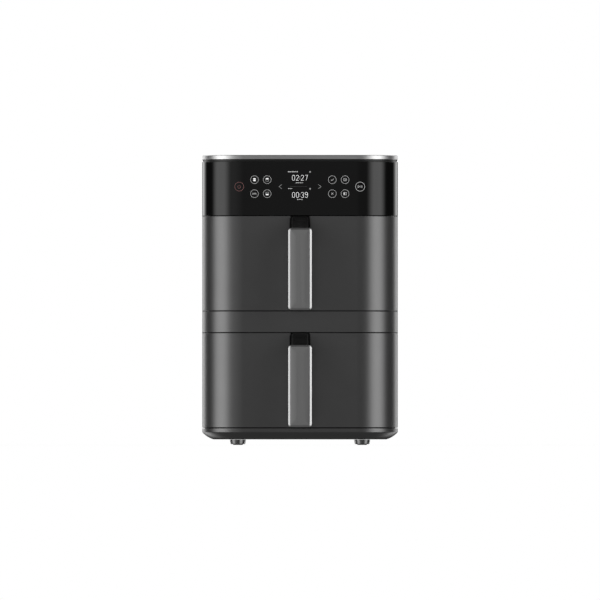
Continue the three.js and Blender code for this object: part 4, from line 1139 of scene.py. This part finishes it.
def fan_drive(level):
    """The motor, and the shaft with the nut that holds the hot-air wheel."""
    z = fan_axis(level)
    low, high = box(f"fan_motor_{level}")
    bore, body, edge = 3.5, 26, 2.5
    flange = [(bore, low.y), (high.x - 0.4, low.y), (high.x, low.y + 0.4), (high.x, low.y + 1.6),
              (high.x - 0.4, low.y + 2), (bore, low.y + 2)]
    add(f"motor_plate_{level}", [spun(flange, 0, z)], STEEL, "housing", f"fan_motor_{level}")
    can = [(bore, low.y + 1.5), (body, low.y + 1.5)]
    for share in (0.25, 0.45, 0.65):
        y = low.y + (high.y - low.y) * share
        can += [(body, y), (body - 0.8, y + 0.6), (body - 0.8, y + 1.8), (body, y + 2.4)]
    can += arc((body - edge, high.y - edge), edge, 0, 90, 6) + [(9, high.y), (8.4, high.y - 0.8),
                                                                (bore, high.y - 0.8)]
    add(f"motor_can_{level}", [spun(can, 0, z)], MOTOR, "housing")

    low, high = box(f"fan_shaft_{level}")
    wheel_front = box(f"fan_wheel_{level}")[0].y
    shaft = [(0, 0), (2.4, 0), (3, 0.6), (3, high.y - low.y - 0.6), (2.4, high.y - low.y),
             (0, high.y - low.y)]
    nut = [(4.3, 1), (5, 1.5), (5, wheel_front - low.y - 0.3)]
    hexagon = [(3, 1), *nut, (3, wheel_front - low.y - 0.3)]
    hexagon = [(radius, low.y + y) for radius, y in hexagon]
    parts = [turned(shaft, (0, low.y, z), 32, "y"), spun(hexagon, 0, z, 6)]
    add(f"drive_shaft_{level}", parts, STEEL, f"fan_{level}", f"fan_shaft_{level}")


def temperature_sensor(level):
    low, high = box(f"temperature_sensor_{level}")
    x, z, wide = (low.x + high.x) / 2, (low.z + high.z) / 2, (high.x - low.x) / 2
    wall_y = box(f"chamber_{level}")[1].y
    tip = [(0, low.y), (0.9, low.y + 0.25), (1.6, low.y + 0.9), (2, low.y + 2), (2, high.y - 0.3),
           (1.7, high.y), (0, high.y)]
    nut = [(1.9, wall_y + 0.3), (wide - 0.4, wall_y + 0.3), (wide, wall_y + 0.7), (wide, wall_y + 2.6),
           (wide - 0.4, wall_y + 3), (1.9, wall_y + 3)]
    parts = [turned(tip, (x, 0, z), 28, "y"), spun(nut, x, z, 32)]
    add(f"sensor_probe_{level}", parts, STEEL, "housing", f"temperature_sensor_{level}")


def power_board():
    """The mains board over the heat shield, with its larger components."""
    low, high = box("power_board")
    under = low.z + 7
    top = under + 1.6
    plate = [prism(rounded(low.x, high.x, low.y, high.y, 2), under, top)]
    add("mains_board", plate, BOARD, "housing", "power_board", bevel=0.2)
    spots = [(x, y, low.z) for x in (-66, 66) for y in (low.y + 9, high.y - 9)]
    post = [(0, 0), (2.6, 0), (3, 0.4), (3, 7.2), (0, 7.2)]
    add("board_posts", [turned(post, spot, 24) for spot in spots], STEEL, "housing")

    def block(x, start, length, tall, radius=1):
        y = low.y + start
        return prism(rounded(x[0], x[1], y, y + length, radius), top - 0.2, top + tall)

    relays = [block((x, x + 28), start, 14, 16) for x in (-60,) for start in (20, 44)]
    add("relays", relays, SOFT_BLACK, "housing", bevel=0.5)
    core = [block((-10, 20), 34, 24, 26)]
    add("transformer_core", core, MOTOR, "housing", bevel=0.4)
    coil = [block((-7, 17), 30, 32, 22, 6)]
    add("transformer_coil", coil, MATTE_BLACK, "housing", bevel=0.8)
    can = [(0, -0.2), (7.6, -0.2), (8, 0.6), (8, 2), (7.4, 2.8), (8, 3.6), (8, 29), (7.2, 30),
           (6.6, 29.6), (0, 29.6)]
    add("capacitor", [turned(can, (44, low.y + 36, top), 40)], SILICONE, "housing")
    near, far = low.y + 92, low.y + 98
    comb = [(-50, near)]
    for i in range(15):
        x = (-50 + i * 6.2)
        comb += [(x, far), (x + 2, far), (x + 2, near + 1.8), (x + 6.2, near + 1.8)]
    comb = comb[:-2] + [(-50 + (14 * 6.2 + 2), near)]
    add("heat_sink", [prism(comb, top - 0.2, high.z)], ALUMINISED, "housing")


# ---------------------------------------------------------------- assembly

base_tray()
for corner in ("front_left", "front_right", "rear_left", "rear_right"):
    foot(corner)
housing_shell()
rear_cover()
cord_gland()
for i, (x, z) in enumerate(((-66, 50), (66, 96), (-66, 370), (66, 370))):
    screw(f"cover_screw_{i + 1}", x, REAR, z)
top_pieces()
control_panel()
panel_marks()
middle_band()
front_frame()
for level in LEVELS:
    drawer_front(level)
    drawer_liner(level)
    pan(level)
    crisper_plate(level)
    handle(level)
    chamber(level)
    rail("left", level)
    rail("right", level)
    fan_guard(level)
    fan_box(level)
    heating_element(level)
    bladed_wheel(f"fan_wheel_{level}", "hot_wheel", level, 8, 28, STEEL)
    bladed_wheel(f"cooling_fan_{level}", "cooling_wheel", level, 7, 40, MATTE_BLACK)
    fan_drive(level)
    temperature_sensor(level)
    dress(MATTE_BLACK, f"drawer_switch_{level}", f"switch_plunger_{level}")
power_board()
dress(MATTE_BLACK, "base_deck", "panel_carrier")
dress(ALUMINISED, "heat_shield")
dress(BOARD, "touch_board")
dress(DISPLAY, "display_module")

# ---------------------------------------------------------------- studio

# The light cards that stand round the object. Azimuths are in degrees, 0 in front and 90 to the right: a
# card's light rises between the first two and falls between the last two. Its top is a share of the way to
# overhead.
CARDS = (
    {"name": "left box", "azimuths": (-100, -76, -58, -34), "top": 0.65, "radiance": 1.8},
    {"name": "right box", "azimuths": (27, 52, 68, 92), "top": 0.65, "radiance": 2.1},
    {"name": "front left fill", "azimuths": (-110, -60, -34, 14), "top": 0.6, "radiance": 0.3},
    {"name": "front fill", "azimuths": (-100, -80, 80, 100), "top": 0.6, "radiance": 0.106},
    {"name": "left rear wall", "azimuths": (-170, -150, -150, -124), "top": 0.9, "radiance": 1.9},
    {"name": "right rear wall", "azimuths": (121, 150, 148, 166), "top": 0.9, "radiance": 1.75},
    {"name": "room", "azimuths": (-400, -380, 380, 400), "top": 1.2, "radiance": 0.02},
)
FLOOR_GLOW = 0.12  # what the object sees of the ground below it


def studio_light():
    world = bpy.data.worlds.new("studio")
    bpy.context.scene.world = world
    world.use_nodes = True
    nodes, links = world.node_tree.nodes, world.node_tree.links
    nodes.clear()

    def math_node(operation, *values):
        node = nodes.new("ShaderNodeMath")
        node.operation = operation
        for socket, value in zip(node.inputs, values):
            if isinstance(value, (int, float)):
                socket.default_value = value
            else:
                links.new(value, socket)
        return node.outputs["Value"]

    def ease(value, low, high, start, end):
        node = nodes.new("ShaderNodeMapRange")
        node.interpolation_type = "SMOOTHSTEP"
        links.new(value, node.inputs["Value"])
        for name, number in (("From Min", low), ("From Max", high), ("To Min", start), ("To Max", end)):
            node.inputs[name].default_value = number
        return node.outputs["Result"]

    place_node = nodes.new("ShaderNodeTexCoord")
    parts = nodes.new("ShaderNodeSeparateXYZ")
    links.new(place_node.outputs["Generated"], parts.inputs["Vector"])
    ahead = math_node("MULTIPLY", parts.outputs["Y"], -1.0)
    azimuth = math_node("ARCTAN2", parts.outputs["X"], ahead)
    total = 0.0
    for card in CARDS:
        a, b, c, d = (math.radians(angle) for angle in card["azimuths"])
        rising = ease(azimuth, a, b, 0.0, card["radiance"])
        falling = ease(azimuth, c, d, 1.0, 0.0)
        under = ease(parts.outputs["Z"], card["top"] - 0.15, card["top"] + 0.15, 1.0, 0.0)
        light = math_node("MULTIPLY", math_node("MULTIPLY", rising, falling), under)
        total = math_node("ADD", light, total)

    above = ease(parts.outputs["Z"], -0.75, -0.45, 0.0, 1.0)
    dark = math_node("MULTIPLY_ADD", above, -FLOOR_GLOW, FLOOR_GLOW)
    total = math_node("MULTIPLY_ADD", total, above, dark)

    path = nodes.new("ShaderNodeLightPath")
    unseen = math_node("SUBTRACT", 1.0, path.outputs["Is Camera Ray"])
    strength = math_node("MULTIPLY_ADD", total, unseen, path.outputs["Is Camera Ray"])
    glow = nodes.new("ShaderNodeBackground")
    glow.inputs["Color"].default_value = (1, 1, 1, 1)
    links.new(strength, glow.inputs["Strength"])
    out = nodes.new("ShaderNodeOutputWorld")
    links.new(glow.outputs["Background"], out.inputs["Surface"])


def studio_floor():
    mesh = bpy.data.meshes.new("floor")
    bm = bmesh.new()
    bm.faces.new([bm.verts.new((x, y, -0.2 * MM)) for x, y in ring_of(0, 0, 3.2, steps=96)])
    bm.to_mesh(mesh)
    bm.free()
    mesh.materials.append(FLOOR)
    floor = bpy.data.objects.new("floor", mesh)
    bpy.context.scene.collection.objects.link(floor)
    floor.visible_glossy = False
    floor.visible_diffuse = False


def studio_camera():
    """A long lens in front, level with the feet: it sees the floor exactly edge-on."""
    lens, sensor = 1300.0, 36.0
    data = bpy.data.cameras.new("camera")
    data.lens, data.sensor_width = lens, sensor
    data.clip_start, data.clip_end = 1.0, 100.0
    camera = bpy.data.objects.new("camera", data)
    scene = bpy.context.scene
    scene.collection.objects.link(camera)
    scene.camera = camera
    target = Vector((0, 0, 203.8 * MM))
    camera.location = (0, (FRONT * 0.8 - FRAME_WIDTH * lens / sensor) * MM, 0)
    camera.rotation_mode = "QUATERNION"
    camera.rotation_quaternion = (target - camera.location).to_track_quat("-Z", "Y")
    scene.view_settings.view_transform = "Standard"
    scene.view_settings.look = "None"
    scene.view_settings.exposure = 0
    scene.view_settings.gamma = 1


studio_light()
studio_floor()
studio_camera()
